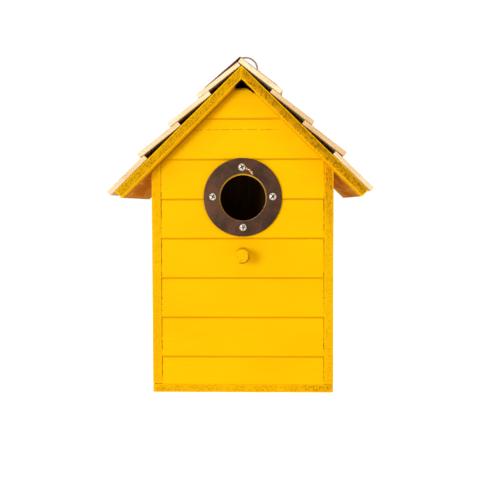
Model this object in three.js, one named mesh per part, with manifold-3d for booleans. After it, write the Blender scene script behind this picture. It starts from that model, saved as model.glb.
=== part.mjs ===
// A small timber birdhouse: lapped siding on the front, a shingled gable roof with a
// folded metal ridge cap, a metal ring round the entrance, a perch, and a hinged
// clean-out door in the back wall that a turn button locks.
//
// Millimetres, +Z up. The entrance faces -Y and +X is to the right, seen from the front.
// The origin is the centre of the floor board's underside.

import * as THREE from 'three';
import { mergeVertices } from 'three/addons/utils/BufferGeometryUtils.js';
import Module from 'manifold-3d';

const wasm = await Module();
wasm.setup();

// ---------------------------------------------------------------- driving dimensions

const FIT_GAP = 0.3; // between pieces that touch
const LAY_GAP = 0.1; // between shingles, the panels and the ridge cap

// body
const BODY_WIDTH = 125.6;
const BODY_DEPTH = 108;
const EAVE_HEIGHT = 152.9; // outer top edge of the side walls
const WALL = 6.5; // side walls, back wall and door
const FLOOR_THICKNESS = 6.1;

// lapped front boards
const BOARD_COUNT = 8;
const BOARD_THICKNESS = 6.5; // at the lower edge
const LAP_STEP = 1.2; // how far the top edge lies behind the lower edge above it
const FIRST_LAP_HEIGHT = 25;
const TOP_BOARD_HEIGHT = 21.4;
const VENT_HEIGHT = 4.1; // open triangle between the top board and the ridge

// entrance, ring and perch
const ENTRANCE_HEIGHT = 135.8;
const ENTRANCE_X = 0.3;
const ENTRANCE_RADIUS = 15.6;
const ENTRANCE_DROP = 0.4; // the hole's centre, below the ring's
const RING_OUTER_RADIUS = 27;
const RING_INNER_RADIUS = 16;
const RING_THICKNESS = 1;
const RING_SCREW_CIRCLE_RADIUS = 20.6;
const PERCH_HEIGHT = 96.2;
const PERCH_RADIUS = 5;
const PERCH_REACH = 20; // in front of the boards
const PERCH_EDGE_ROUND = 1.1;

// screws
const SHANK_RADIUS = 0.9;
const SHANK_LENGTH = 5;
const DRILL_CLEARANCE = 0.3;
const PAN_HEAD = { radius: 2.65, height: 1.7, recess: 3.0, slot: 0.75, depth: 0.9 };
const SMALL_HEAD = { radius: 1.5, height: 0.9, recess: 1.8, slot: 0.5, depth: 0.5 };

// roof
const ROOF_SLOPE = THREE.MathUtils.degToRad(44.5);
const PANEL_THICKNESS = 6.4;
const FRONT_OVERHANG = 13.9;
const REAR_OVERHANG = 8.6;

// the two sides differ, as they were made by hand. Overhang is sideways, from the wall
// to the panel's upper end corner; start is where the top course begins below the ridge
// line; drip is how far the lowest course passes the panel; slips are laying errors and
// sheets are the thicknesses of the shingles, both from the top course down
const COURSE_COUNT = 4;
const SHINGLE_OVERLAP = 6;
const SHINGLE_SIDE_GAP = 0.6;
const JOINT_STAGGER = 9;
const ROOF_SIDES = [
  {
    side: 'left', sign: -1, overhang: 22.9, start: 0.7, drip: 4,
    slips: [0, -2.1, -2.4, 0], sheets: [3, 3.2, 3.3, 3.5],
  },
  {
    side: 'right', sign: 1, overhang: 22.3, start: -3.1, drip: 1.5,
    slips: [0, 0, 0.6, 0], sheets: [3.5, 3.1, 3.4, 3.2],
  },
];
const ROW_PLACES = ['front', 'middle', 'rear'];

// ridge cap and hanging loop
const CAP_SHEET = 0.6;
const CAP_LEG = 31;
const CAP_SETBACK = 2.5; // behind the shingles' front ends
const CAP_CREST = 0.8; // how far the fold passes the top shingle's end
const LOOP_WIRE_RADIUS = 0.65;
const LOOP_X = 1.3; // the loop's middle, to the right of the ridge
const LOOP_RADIUS = 8.8;
const LOOP_RISE = 11.1; // top of the loop above the cap's fold
const LOOP_TAIL = 4; // wire below the roof panels

// clean-out door, stop strip and turn button
const DOOR_WIDTH = 64;
const DOOR_HEIGHT = 78;
const DOOR_SILL = 22; // lower edge of the doorway
const DOOR_GAP = 1;
const FINGER_NOTCH_RADIUS = 7;
const STOP_WIDTH = 10;
const STOP_THICKNESS = 4;
const STOP_OVERLAP = 4; // how far the strip reaches behind the door
const BUTTON_LENGTH = 24;
const BUTTON_WIDTH = 8;
const BUTTON_THICKNESS = 3.2;
const BUTTON_OFFSET = 8; // pivot, from the doorway's edge
const BUTTON_LIFT = 24; // pivot, above the door's middle

// butt hinge
const HINGE_LENGTH = 38;
const LEAF_WIDTH = 10;
const LEAF_THICKNESS = 0.8;
const KNUCKLE_RADIUS = 1.7;
const KNUCKLE_COUNT = 3;
const KNUCKLE_GAP = 0.4;
const PIN_RADIUS = 0.8;
const PIN_CLEARANCE = 0.08;
const PIN_HEAD_HEIGHT = 0.8;
const HINGE_SCREW_INSET = 8; // from the leaf's ends

// ------------------------------------------------------------- dimensions worked out

const FRONT_Y = -BODY_DEPTH / 2;
const BACK_Y = BODY_DEPTH / 2;
const HALF_WIDTH = BODY_WIDTH / 2;
const INNER_X = HALF_WIDTH - WALL;
const INSET_X = INNER_X - FIT_GAP;
const WALL_BASE = FLOOR_THICKNESS + FIT_GAP;
const SLOPE_COS = Math.cos(ROOF_SLOPE);
const SLOPE_SIN = Math.sin(ROOF_SLOPE);
const SLOPE_TAN = Math.tan(ROOF_SLOPE);
const ROOF_GAP_Z = FIT_GAP / SLOPE_COS;
const INNER_RIDGE_Z = EAVE_HEIGHT + ROOF_GAP_Z + HALF_WIDTH * SLOPE_TAN;
const RIDGE_Z = INNER_RIDGE_Z + PANEL_THICKNESS / SLOPE_COS;
const ROOF_FRONT_Y = FRONT_Y - FRONT_OVERHANG;
const ROOF_BACK_Y = BACK_Y + REAR_OVERHANG;
const ROOF_MIDDLE_Y = (ROOF_FRONT_Y + ROOF_BACK_Y) / 2;
const GABLE_TOP = INNER_RIDGE_Z - VENT_HEIGHT;
const DOOR_MIDDLE_Z = DOOR_SILL + DOOR_GAP + DOOR_HEIGHT / 2;
const DOORWAY_HALF_WIDTH = DOOR_WIDTH / 2 + DOOR_GAP;
const HINGE_X = DOOR_WIDTH / 2 + DOOR_GAP / 2;
const LEAF_BACK_Y = BACK_Y + FIT_GAP;
const HINGE_Y = LEAF_BACK_Y + KNUCKLE_RADIUS;
const BUTTON_X = -(DOORWAY_HALF_WIDTH + BUTTON_OFFSET);
const BUTTON_Z = DOOR_MIDDLE_Z + BUTTON_LIFT;

// height of the walls' and gables' top at a distance from the middle
function underRoof(x) {
  return INNER_RIDGE_Z - Math.abs(x) * SLOPE_TAN - ROOF_GAP_Z;
}

// ------------------------------------------------------------------------- materials

function material(color, roughness, metalness) {
  return new THREE.MeshStandardMaterial({ color, roughness, metalness, flatShading: true });
}

const yellowPaint = () => material('#ffc608', 0.6, 0);
const rawTimber = () => material('#c98a3c', 0.8, 0);
const shingleTimber = () => material('#f6d59b', 0.85, 0);
const agedBronze = () => material('#5b3c33', 0.45, 0.8);
const copperWire = () => material('#a5745a', 0.4, 0.9);
const zincSteel = () => material('#d8d2bd', 0.3, 0.9);
const brass = () => material('#a8894d', 0.4, 0.9);

// -------------------------------------------------------------------- solid modelling

function solidOf(geometry) {
  const bare = geometry.clone();
  bare.deleteAttribute('normal');
  bare.deleteAttribute('uv');
  const merged = mergeVertices(bare, 1e-4);
  const index = merged.index.array;
  const triangles = [];
  for (let i = 0; i < index.length; i += 3) {
    const [a, b, c] = [index[i], index[i + 1], index[i + 2]];
    if (a !== b && b !== c && c !== a) triangles.push(a, b, c);
  }
  return new wasm.Manifold(new wasm.Mesh({
    numProp: 3,
    vertProperties: new Float32Array(merged.attributes.position.array),
    triVerts: new Uint32Array(triangles),
  }));
}

function geometryOf(solid) {
  const mesh = solid.getMesh();
  const geometry = new THREE.BufferGeometry();
  geometry.setAttribute('position', new THREE.BufferAttribute(mesh.vertProperties, 3));
  geometry.setIndex(new THREE.BufferAttribute(mesh.triVerts, 1));
  geometry.computeVertexNormals();
  return geometry;
}

function cut(geometry, cutters) {
  let solid = solidOf(geometry);
  for (const cutter of cutters) solid = solid.subtract(solidOf(cutter));
  return geometryOf(solid);
}

function join(geometries) {
  const solids = geometries.map(solidOf);
  return geometryOf(solids.reduce((whole, part) => whole.add(part)));
}

function common(first, second) {
  return geometryOf(solidOf(first).intersect(solidOf(second)));
}

function shapeOf(points) {
  return new THREE.Shape(points.map(([x, y]) => new THREE.Vector2(x, y)));
}

// an outline in X and Z, given depth along Y
function alongY(shape, yMin, yMax, curveSegments = 12) {
  const depth = yMax - yMin;
  const geometry = new THREE.ExtrudeGeometry(shape, { depth, bevelEnabled: false, curveSegments });
  geometry.rotateX(Math.PI / 2);
  geometry.translate(0, yMax, 0);
  return geometry;
}

// an outline in Y and Z, given length along X
function alongX(shape, xMin, xMax) {
  const geometry = new THREE.ExtrudeGeometry(shape, { depth: xMax - xMin, bevelEnabled: false });
  geometry.applyMatrix4(new THREE.Matrix4().makeBasis(
    new THREE.Vector3(0, 1, 0),
    new THREE.Vector3(0, 0, 1),
    new THREE.Vector3(1, 0, 0),
  ));
  geometry.translate(xMin, 0, 0);
  return geometry;
}

function boxBetween([x0, y0, z0], [x1, y1, z1]) {
  const geometry = new THREE.BoxGeometry(x1 - x0, y1 - y0, z1 - z0);
  geometry.translate((x0 + x1) / 2, (y0 + y1) / 2, (z0 + z1) / 2);
  return geometry;
}

// a round hole's cutter along Y, centred at (x, z)
function drillY(radius, x, z, yMin, yMax, segments = 24) {
  const geometry = new THREE.CylinderGeometry(radius, radius, yMax - yMin, segments);
  geometry.translate(x, (yMin + yMax) / 2, z);
  return geometry;
}

// a round hole's cutter along Z, centred at (x, y)
function drillZ(radius, x, y, zMin, zMax, segments = 24) {
  const geometry = new THREE.CylinderGeometry(radius, radius, zMax - zMin, segments);
  geometry.rotateX(Math.PI / 2);
  geometry.translate(x, y, (zMin + zMax) / 2);
  return geometry;
}

// ------------------------------------------------------------------------- assembly

const birdhouse = new THREE.Group();

function add(name, geometry, look, parent = birdhouse) {
  const mesh = new THREE.Mesh(geometry, look);
  mesh.name = name;
  parent.add(mesh);
  return mesh;
}

// ------------------------------------------------------------------- floor and walls

function floorBoard() {
  return boxBetween([-HALF_WIDTH, FRONT_Y, 0], [HALF_WIDTH, BACK_Y, FLOOR_THICKNESS]);
}

function sideWall(sign) {
  const outline = shapeOf([
    [sign * INNER_X, WALL_BASE],
    [sign * HALF_WIDTH, WALL_BASE],
    [sign * HALF_WIDTH, underRoof(HALF_WIDTH)],
    [sign * INNER_X, underRoof(INNER_X)],
  ]);
  return alongY(outline, FRONT_Y, BACK_Y);
}

// the space between the side walls, up to the roof and the flat top under the vent
function gableOutline() {
  const flatHalf = (VENT_HEIGHT - ROOF_GAP_Z) / SLOPE_TAN;
  return shapeOf([
    [-INSET_X, WALL_BASE],
    [INSET_X, WALL_BASE],
    [INSET_X, underRoof(INSET_X)],
    [flatHalf, GABLE_TOP],
    [-flatHalf, GABLE_TOP],
    [-INSET_X, underRoof(INSET_X)],
  ]);
}

add('floor_board', floorBoard(), yellowPaint());
add('left_wall', sideWall(-1), yellowPaint());
add('right_wall', sideWall(1), yellowPaint());

// ------------------------------------------------------ front boards, ring and perch

const BOARD_INNER_Y = FRONT_Y + BOARD_THICKNESS;
const RING_BACK_Y = FRONT_Y - FIT_GAP;
const RING_FRONT_Y = RING_BACK_Y - RING_THICKNESS;

// clock positions of the ring's screws, and how far each cross is turned
const RING_SCREWS = [
  { place: 'top', angle: 91.5, turn: 25 },
  { place: 'right', angle: 1.2, turn: 40 },
  { place: 'bottom', angle: 270.5, turn: 10 },
  { place: 'left', angle: 178.8, turn: 62 },
].map(({ place, angle, turn }) => ({
  place,
  turn: THREE.MathUtils.degToRad(turn),
  x: ENTRANCE_X + RING_SCREW_CIRCLE_RADIUS * Math.cos(THREE.MathUtils.degToRad(angle)),
  z: ENTRANCE_HEIGHT + RING_SCREW_CIRCLE_RADIUS * Math.sin(THREE.MathUtils.degToRad(angle)),
}));

// heights of the laps, from the floor board's top to the gable's flat top
function lapHeights() {
  const exposure = (GABLE_TOP - TOP_BOARD_HEIGHT - FIRST_LAP_HEIGHT) / (BOARD_COUNT - 2);
  const heights = [WALL_BASE];
  for (let k = 0; k < BOARD_COUNT - 1; k += 1) heights.push(FIRST_LAP_HEIGHT + k * exposure);
  heights.push(GABLE_TOP);
  return heights;
}

function frontCutters() {
  const shankReach = SHANK_LENGTH - RING_THICKNESS;
  const holes = RING_SCREWS.map(({ x, z }) => drillY(
    SHANK_RADIUS + DRILL_CLEARANCE, x, z, FRONT_Y - 1, FRONT_Y + shankReach, 16));
  holes.push(drillY(ENTRANCE_RADIUS, ENTRANCE_X, ENTRANCE_HEIGHT - ENTRANCE_DROP, FRONT_Y - 1,
    BOARD_INNER_Y + 1, 64));
  holes.push(drillY(PERCH_RADIUS + FIT_GAP, ENTRANCE_X, PERCH_HEIGHT, FRONT_Y - 1,
    BOARD_INNER_Y + 1, 32));
  return holes;
}

function frontBoard(lower, upper, cutters) {
  const profile = shapeOf([
    [FRONT_Y, lower],
    [BOARD_INNER_Y, lower],
    [BOARD_INNER_Y, upper],
    [FRONT_Y + LAP_STEP, upper],
  ]);
  const plank = alongX(profile, -INSET_X, INSET_X);
  const gable = alongY(gableOutline(), FRONT_Y - 1, BOARD_INNER_Y + 1);
  return cut(common(plank, gable), cutters);
}

function entranceRing() {
  const outline = new THREE.Shape();
  outline.absarc(ENTRANCE_X, ENTRANCE_HEIGHT, RING_OUTER_RADIUS, 0, 2 * Math.PI);
  const opening = new THREE.Path();
  opening.absarc(ENTRANCE_X, ENTRANCE_HEIGHT, RING_INNER_RADIUS, 0, 2 * Math.PI);
  outline.holes.push(opening);
  const plate = alongY(outline, RING_FRONT_Y, RING_BACK_Y, 36);
  return cut(plate, RING_SCREWS.map(({ x, z }) => drillY(
    SHANK_RADIUS + DRILL_CLEARANCE, x, z, RING_FRONT_Y - 1, RING_BACK_Y + 1, 16)));
}

function perchDowel() {
  const length = PERCH_REACH + BOARD_THICKNESS;
  const profile = [new THREE.Vector2(0, 0), new THREE.Vector2(PERCH_RADIUS, 0)];
  const arcSteps = 4;
  for (let i = 0; i <= arcSteps; i += 1) {
    const turn = (i / arcSteps) * Math.PI / 2;
    profile.push(new THREE.Vector2(
      PERCH_RADIUS - PERCH_EDGE_ROUND * (1 - Math.cos(turn)),
      length - PERCH_EDGE_ROUND * (1 - Math.sin(turn)),
    ));
  }
  profile.push(new THREE.Vector2(0, length));
  return new THREE.LatheGeometry(profile, 32);
}

// a screw along +Y: the head's underside is at y = 0 and the shank runs to -Y
function panScrew(head, shankLength) {
  const profile = [
    new THREE.Vector2(0, -shankLength),
    new THREE.Vector2(SHANK_RADIUS, -shankLength + SHANK_RADIUS),
    new THREE.Vector2(SHANK_RADIUS, 0),
    new THREE.Vector2(head.radius, 0),
    new THREE.Vector2(head.radius, head.height * 0.35),
    new THREE.Vector2(head.radius * 0.85, head.height * 0.75),
    new THREE.Vector2(head.radius * 0.5, head.height),
    new THREE.Vector2(0, head.height),
  ];
  const blank = new THREE.LatheGeometry(profile, 20);
  const slots = [0, Math.PI / 2].map((turn) => {
    const slot = new THREE.BoxGeometry(head.recess, 2 * head.depth, head.slot);
    slot.translate(0, head.height, 0);
    slot.rotateY(turn);
    return slot;
  });
  return cut(blank, slots);
}

const frontHoles = frontCutters();
const laps = lapHeights();
for (let k = 0; k < BOARD_COUNT; k += 1) {
  const lower = laps[k] + (k === 0 ? 0 : FIT_GAP / 2);
  const upper = laps[k + 1] - (k === BOARD_COUNT - 1 ? 0 : FIT_GAP / 2);
  add(`front_board_${k + 1}`, frontBoard(lower, upper, frontHoles), yellowPaint());
}

add('entrance_ring', entranceRing(), agedBronze());

const perch = add('perch', perchDowel(), yellowPaint());
perch.position.set(ENTRANCE_X, BOARD_INNER_Y, PERCH_HEIGHT);
perch.rotation.x = Math.PI;

const headClearance = 0.1;
for (const { place, x, z, turn } of RING_SCREWS) {
  const screw = add(`ring_screw_${place}`, panScrew(PAN_HEAD, SHANK_LENGTH), zincSteel());
  screw.position.set(x, RING_FRONT_Y - headClearance, z);
  screw.rotation.set(Math.PI, turn, 0);
}

// ------------------------------------------------------------------------------ roof

// a point on a roof side: u runs down the panel's top from the ridge, n stands off it
function onRoof(sign, u, n) {
  return [
    sign * (u * SLOPE_COS + n * SLOPE_SIN),
    RIDGE_Z - u * SLOPE_SIN + n * SLOPE_COS,
  ];
}

function panelLength({ overhang }) {
  return (HALF_WIDTH + overhang) / SLOPE_COS;
}

function roofPanel(roofSide) {
  const { sign } = roofSide;
  const length = panelLength(roofSide);
  const seam = FIT_GAP / 2;
  const outline = shapeOf([
    [sign * seam, RIDGE_Z - seam * SLOPE_TAN],
    onRoof(sign, length, 0),
    onRoof(sign, length, -PANEL_THICKNESS),
    [sign * seam, INNER_RIDGE_Z - seam * SLOPE_TAN],
  ]);
  return alongY(outline, ROOF_FRONT_Y, ROOF_BACK_Y);
}

// each course of a side, from the ridge down: where it starts, its tilt and its length.
// The lowest lies flat; every other one rests on the upper end of the one below it.
function layCourses(roofSide) {
  const { start, drip, slips, sheets } = roofSide;
  const reach = panelLength(roofSide) + drip - start;
  const length = (reach + (COURSE_COUNT - 1) * SHINGLE_OVERLAP) / COURSE_COUNT;
  const pitch = (reach - length) / (COURSE_COUNT - 1);
  const courses = [];
  let below = null;
  for (let k = COURSE_COUNT - 1; k >= 0; k -= 1) {
    const u = start + k * pitch + slips[k];
    const pivot = Math.max(u, 0);
    let tilt = 0;
    if (below) {
      const corner = below.sheet * Math.cos(below.tilt);
      const cornerU = below.u - below.sheet * Math.sin(below.tilt);
      const endU = u + length * Math.cos(below.tilt);
      const topAtEnd = corner + (endU - cornerU) * Math.tan(below.tilt);
      const rise = LAY_GAP + corner;
      const riseAtEnd = LAY_GAP + topAtEnd;
      tilt = Math.max(Math.atan2(rise, cornerU - pivot), Math.atan2(riseAtEnd, endU - pivot));
    }
    const n = LAY_GAP - (pivot - u) * Math.tan(tilt);
    below = { u, n, tilt, length, sheet: sheets[k] };
    courses.unshift(below);
  }
  return courses;
}

// the four corners of a course's section: lower face from the upper end, then back
function courseCorners(sign, { u, n, tilt, length, sheet }) {
  const along = [Math.cos(tilt), Math.sin(tilt)];
  const off = [-Math.sin(tilt) * sheet, Math.cos(tilt) * sheet];
  return [
    onRoof(sign, u, n),
    onRoof(sign, u + length * along[0], n + length * along[1]),
    onRoof(sign, u + length * along[0] + off[0], n + length * along[1] + off[1]),
    onRoof(sign, u + off[0], n + off[1]),
  ];
}

// front and back edges of the three shingles in a row; the joints of neighbouring
// courses are staggered
function rowEdges(course) {
  const third = (ROOF_BACK_Y - ROOF_FRONT_Y) / ROW_PLACES.length;
  const stagger = course % 2 === 0 ? -JOINT_STAGGER : JOINT_STAGGER;
  const joints = [
    ROOF_FRONT_Y - SHINGLE_SIDE_GAP / 2,
    ROOF_FRONT_Y + third + stagger,
    ROOF_FRONT_Y + 2 * third + stagger,
    ROOF_BACK_Y + SHINGLE_SIDE_GAP / 2,
  ];
  return ROW_PLACES.map((place, i) => ({
    place,
    yMin: joints[i] + SHINGLE_SIDE_GAP / 2,
    yMax: joints[i + 1] - SHINGLE_SIDE_GAP / 2,
  }));
}

// ridge cap: the right leg lies on the right top shingle, and the left leg runs from
// the fold down to the left top shingle
function capSection(leftTop, rightTop) {
  const rightAngle = ROOF_SLOPE - rightTop.tilt;
  const leftAngle = ROOF_SLOPE - leftTop.tilt;
  const rightCorner = courseCorners(1, rightTop)[3];
  const leftCorner = courseCorners(-1, leftTop)[3];
  const fold = [
    rightCorner[0] + LAY_GAP * Math.sin(rightAngle) - CAP_CREST * Math.cos(rightAngle),
    rightCorner[1] + LAY_GAP * Math.cos(rightAngle) + CAP_CREST * Math.sin(rightAngle),
  ];
  const foldHeight = (fold[0] - leftCorner[0]) * -Math.sin(leftAngle)
    + (fold[1] - leftCorner[1]) * Math.cos(leftAngle);
  const leftLegAngle = leftAngle + Math.asin((foldHeight - LAY_GAP) / CAP_LEG);
  const legEnd = (sign, angle, lift) => [
    fold[0] + sign * (CAP_LEG * Math.cos(angle) + lift * Math.sin(angle)),
    fold[1] - CAP_LEG * Math.sin(angle) + lift * Math.cos(angle),
  ];
  // the outer fold is where the two outer faces meet
  const half = (rightAngle - leftLegAngle) / 2;
  const mean = (rightAngle + leftLegAngle) / 2;
  const crown = [
    fold[0] + CAP_SHEET * Math.sin(half) / Math.cos(mean),
    fold[1] + CAP_SHEET * Math.cos(half) / Math.cos(mean),
  ];
  const outline = [
    fold,
    legEnd(1, rightAngle, 0),
    legEnd(1, rightAngle, CAP_SHEET),
    crown,
    legEnd(-1, leftLegAngle, CAP_SHEET),
    legEnd(-1, leftLegAngle, 0),
  ];
  return { outline, crownZ: crown[1] };
}

const layings = ROOF_SIDES.map((roofSide) => ({ ...roofSide, courses: layCourses(roofSide) }));
const [leftLaying, rightLaying] = layings;
const cap = capSection(leftLaying.courses[0], rightLaying.courses[0]);

// the loop's legs pass through the cap, the top shingles and the panels
const LOOP_TOP_Z = cap.crownZ + LOOP_RISE - LOOP_WIRE_RADIUS;
const LOOP_CENTRE_Z = LOOP_TOP_Z - LOOP_RADIUS;
const LOOP_FOOT_Z = INNER_RIDGE_Z - (LOOP_X + LOOP_RADIUS) * SLOPE_TAN - LOOP_TAIL;

function loopHoles() {
  const radius = LOOP_WIRE_RADIUS + DRILL_CLEARANCE;
  return [-1, 1].map((sign) => drillZ(
    radius, LOOP_X + sign * LOOP_RADIUS, ROOF_MIDDLE_Y, LOOP_FOOT_Z - 1, LOOP_CENTRE_Z + 1, 12));
}

// one upright leg, a half circle over the ridge, and the other leg
class LoopCurve extends THREE.Curve {
  getPoint(t, target = new THREE.Vector3()) {
    const leg = LOOP_CENTRE_Z - LOOP_FOOT_Z;
    const arch = Math.PI * LOOP_RADIUS;
    const run = t * (2 * leg + arch);
    if (run < leg) return target.set(LOOP_X - LOOP_RADIUS, ROOF_MIDDLE_Y, LOOP_FOOT_Z + run);
    if (run > leg + arch) {
      return target.set(LOOP_X + LOOP_RADIUS, ROOF_MIDDLE_Y, LOOP_CENTRE_Z - (run - leg - arch));
    }
    const angle = Math.PI - (run - leg) / LOOP_RADIUS;
    return target.set(LOOP_X + LOOP_RADIUS * Math.cos(angle), ROOF_MIDDLE_Y,
      LOOP_CENTRE_Z + LOOP_RADIUS * Math.sin(angle));
  }
}

function hangingLoop() {
  const section = new THREE.Shape();
  section.absarc(0, 0, LOOP_WIRE_RADIUS, 0, 2 * Math.PI);
  return new THREE.ExtrudeGeometry(section, {
    steps: 44,
    curveSegments: 5,
    bevelEnabled: false,
    extrudePath: new LoopCurve(),
  });
}

const wireHoles = loopHoles();
for (const roofSide of layings) {
  const { side, sign, courses } = roofSide;
  add(`roof_panel_${side}`, cut(roofPanel(roofSide), wireHoles), yellowPaint());
  courses.forEach((course, k) => {
    const outline = shapeOf(courseCorners(sign, course));
    for (const { place, yMin, yMax } of rowEdges(k)) {
      const blank = alongY(outline, yMin, yMax);
      const drilled = k === 0 && yMin < ROOF_MIDDLE_Y && yMax > ROOF_MIDDLE_Y;
      const shingle = drilled ? cut(blank, wireHoles) : blank;
      add(`shingle_${side}_${k + 1}_${place}`, shingle, shingleTimber());
    }
  });
}

const capBlank = alongY(shapeOf(cap.outline), ROOF_FRONT_Y + CAP_SETBACK, ROOF_BACK_Y - CAP_SETBACK);
add('ridge_cap', cut(capBlank, wireHoles), agedBronze());
add('hanging_loop', hangingLoop(), copperWire());

// ------------------------------------------------------- back wall and clean-out door

const DOOR_INNER_Y = BACK_Y - WALL;
const HINGE_SCREWS = [
  { leaf: 'wall', sign: 1 },
  { leaf: 'door', sign: -1 },
].flatMap(({ leaf, sign }) => ['lower', 'upper'].map((place) => ({
  name: `hinge_screw_${leaf}_${place}`,
  leaf,
  turn: sign * 0.5 + (place === 'upper' ? 0.9 : 0),
  x: HINGE_X + sign * (KNUCKLE_RADIUS + KNUCKLE_GAP + LEAF_WIDTH) / 2,
  z: DOOR_MIDDLE_Z + (place === 'upper' ? 1 : -1) * (HINGE_LENGTH / 2 - HINGE_SCREW_INSET),
})));

function hingeScrewHoles(leaf, yMin, yMax) {
  return HINGE_SCREWS.filter((screw) => screw.leaf === leaf)
    .map(({ x, z }) => drillY(SHANK_RADIUS + DRILL_CLEARANCE, x, z, yMin, yMax, 12));
}

function backWall() {
  const blank = alongY(gableOutline(), DOOR_INNER_Y, BACK_Y);
  const doorway = boxBetween(
    [-DOORWAY_HALF_WIDTH, DOOR_INNER_Y - 1, DOOR_SILL],
    [DOORWAY_HALF_WIDTH, BACK_Y + 1, DOOR_SILL + DOOR_HEIGHT + 2 * DOOR_GAP],
  );
  const buttonHole = drillY(SHANK_RADIUS + DRILL_CLEARANCE, BUTTON_X, BUTTON_Z,
    BACK_Y - SHANK_LENGTH, BACK_Y + 1, 12);
  const leafHoles = hingeScrewHoles('wall', BACK_Y - SHANK_LENGTH, BACK_Y + 1);
  return cut(blank, [doorway, buttonHole, ...leafHoles]);
}

function rearDoor() {
  const blank = boxBetween(
    [-DOOR_WIDTH / 2, DOOR_INNER_Y, DOOR_SILL + DOOR_GAP],
    [DOOR_WIDTH / 2, BACK_Y, DOOR_SILL + DOOR_GAP + DOOR_HEIGHT],
  );
  const notch = drillY(FINGER_NOTCH_RADIUS, -DOOR_WIDTH / 2, DOOR_MIDDLE_Z,
    DOOR_INNER_Y - 1, BACK_Y + 1, 32);
  const leafHoles = hingeScrewHoles('door', BACK_Y - SHANK_LENGTH, BACK_Y + 1);
  return cut(blank, [notch, ...leafHoles]);
}

function doorStop() {
  const inner = -DOOR_WIDTH / 2 + STOP_OVERLAP;
  const back = DOOR_INNER_Y - FIT_GAP;
  return boxBetween(
    [inner - STOP_WIDTH, back - STOP_THICKNESS, DOOR_SILL],
    [inner, back, DOOR_SILL + DOOR_HEIGHT],
  );
}

// height range of each knuckle, from the hinge's lower end
function knuckleSpan(index) {
  const step = HINGE_LENGTH / KNUCKLE_COUNT;
  const base = DOOR_MIDDLE_Z - HINGE_LENGTH / 2;
  return [base + index * step + FIT_GAP / 2, base + (index + 1) * step - FIT_GAP / 2];
}

// a plate with knuckles; sign +1 reaches over the wall, -1 over the door
function hingeLeaf(leaf, sign, knuckles) {
  const leafFront = LEAF_BACK_Y + LEAF_THICKNESS;
  const near = sign * (KNUCKLE_RADIUS + KNUCKLE_GAP);
  const far = sign * LEAF_WIDTH;
  const plate = boxBetween(
    [HINGE_X + Math.min(near, far), LEAF_BACK_Y, DOOR_MIDDLE_Z - HINGE_LENGTH / 2],
    [HINGE_X + Math.max(near, far), leafFront, DOOR_MIDDLE_Z + HINGE_LENGTH / 2],
  );
  const pieces = [plate];
  for (const index of knuckles) {
    const [zMin, zMax] = knuckleSpan(index);
    const reach = 1.2 * near;
    pieces.push(boxBetween(
      [HINGE_X + Math.min(0, reach), LEAF_BACK_Y, zMin],
      [HINGE_X + Math.max(0, reach), leafFront, zMax],
    ));
    pieces.push(drillZ(KNUCKLE_RADIUS, HINGE_X, HINGE_Y, zMin, zMax));
  }
  const boreRadius = (PIN_RADIUS + PIN_CLEARANCE) / Math.cos(Math.PI / 24);
  const bore = drillZ(boreRadius, HINGE_X, HINGE_Y, DOOR_MIDDLE_Z - HINGE_LENGTH,
    DOOR_MIDDLE_Z + HINGE_LENGTH);
  const holes = hingeScrewHoles(leaf, LEAF_BACK_Y - 1, leafFront + 1);
  return cut(join(pieces), [bore, ...holes]);
}

function hingePin() {
  const half = HINGE_LENGTH / 2;
  const headBase = half + FIT_GAP;
  const profile = [
    new THREE.Vector2(0, -half),
    new THREE.Vector2(PIN_RADIUS, -half),
    new THREE.Vector2(PIN_RADIUS, headBase),
    new THREE.Vector2(KNUCKLE_RADIUS * 0.85, headBase),
    new THREE.Vector2(KNUCKLE_RADIUS * 0.6, headBase + PIN_HEAD_HEIGHT),
    new THREE.Vector2(0, headBase + PIN_HEAD_HEIGHT),
  ];
  return new THREE.LatheGeometry(profile, 24);
}

function turnButton() {
  const straight = (BUTTON_LENGTH - BUTTON_WIDTH) / 2;
  const radius = BUTTON_WIDTH / 2;
  const outline = new THREE.Shape();
  outline.absarc(0, straight, radius, 0, Math.PI);
  outline.absarc(0, -straight, radius, Math.PI, 2 * Math.PI);
  const blank = alongY(outline, LEAF_BACK_Y, LEAF_BACK_Y + BUTTON_THICKNESS, 10);
  blank.translate(BUTTON_X, 0, BUTTON_Z);
  return cut(blank, [drillY(SHANK_RADIUS + DRILL_CLEARANCE, BUTTON_X, BUTTON_Z,
    LEAF_BACK_Y - 1, LEAF_BACK_Y + BUTTON_THICKNESS + 1, 16)]);
}

add('back_wall', backWall(), yellowPaint());
add('door_stop_strip', doorStop(), rawTimber());
add('rear_door', rearDoor(), yellowPaint());
add('hinge_leaf_wall', hingeLeaf('wall', 1, [0, 2]), brass());
add('hinge_leaf_door', hingeLeaf('door', -1, [1]), brass());

const pin = add('hinge_pin', hingePin(), brass());
pin.position.set(HINGE_X, HINGE_Y, DOOR_MIDDLE_Z);
pin.rotation.x = Math.PI / 2;

for (const { name, x, z, turn } of HINGE_SCREWS) {
  const screw = add(name, panScrew(SMALL_HEAD, SHANK_LENGTH), zincSteel());
  screw.position.set(x, LEAF_BACK_Y + LEAF_THICKNESS + headClearance, z);
  screw.rotation.y = turn;
}

add('turn_button', turnButton(), yellowPaint());

const buttonScrewLength = BUTTON_THICKNESS + SHANK_LENGTH;
const buttonScrew = add('turn_button_screw', panScrew(PAN_HEAD, buttonScrewLength), zincSteel());
buttonScrew.position.set(BUTTON_X, LEAF_BACK_Y + BUTTON_THICKNESS + headClearance, BUTTON_Z);
buttonScrew.rotation.y = 0.6;

export default birdhouse;
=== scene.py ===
import contextlib
import itertools
import math

import bmesh
import bpy
import numpy as np
from mathutils import Matrix, Vector, noise


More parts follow.
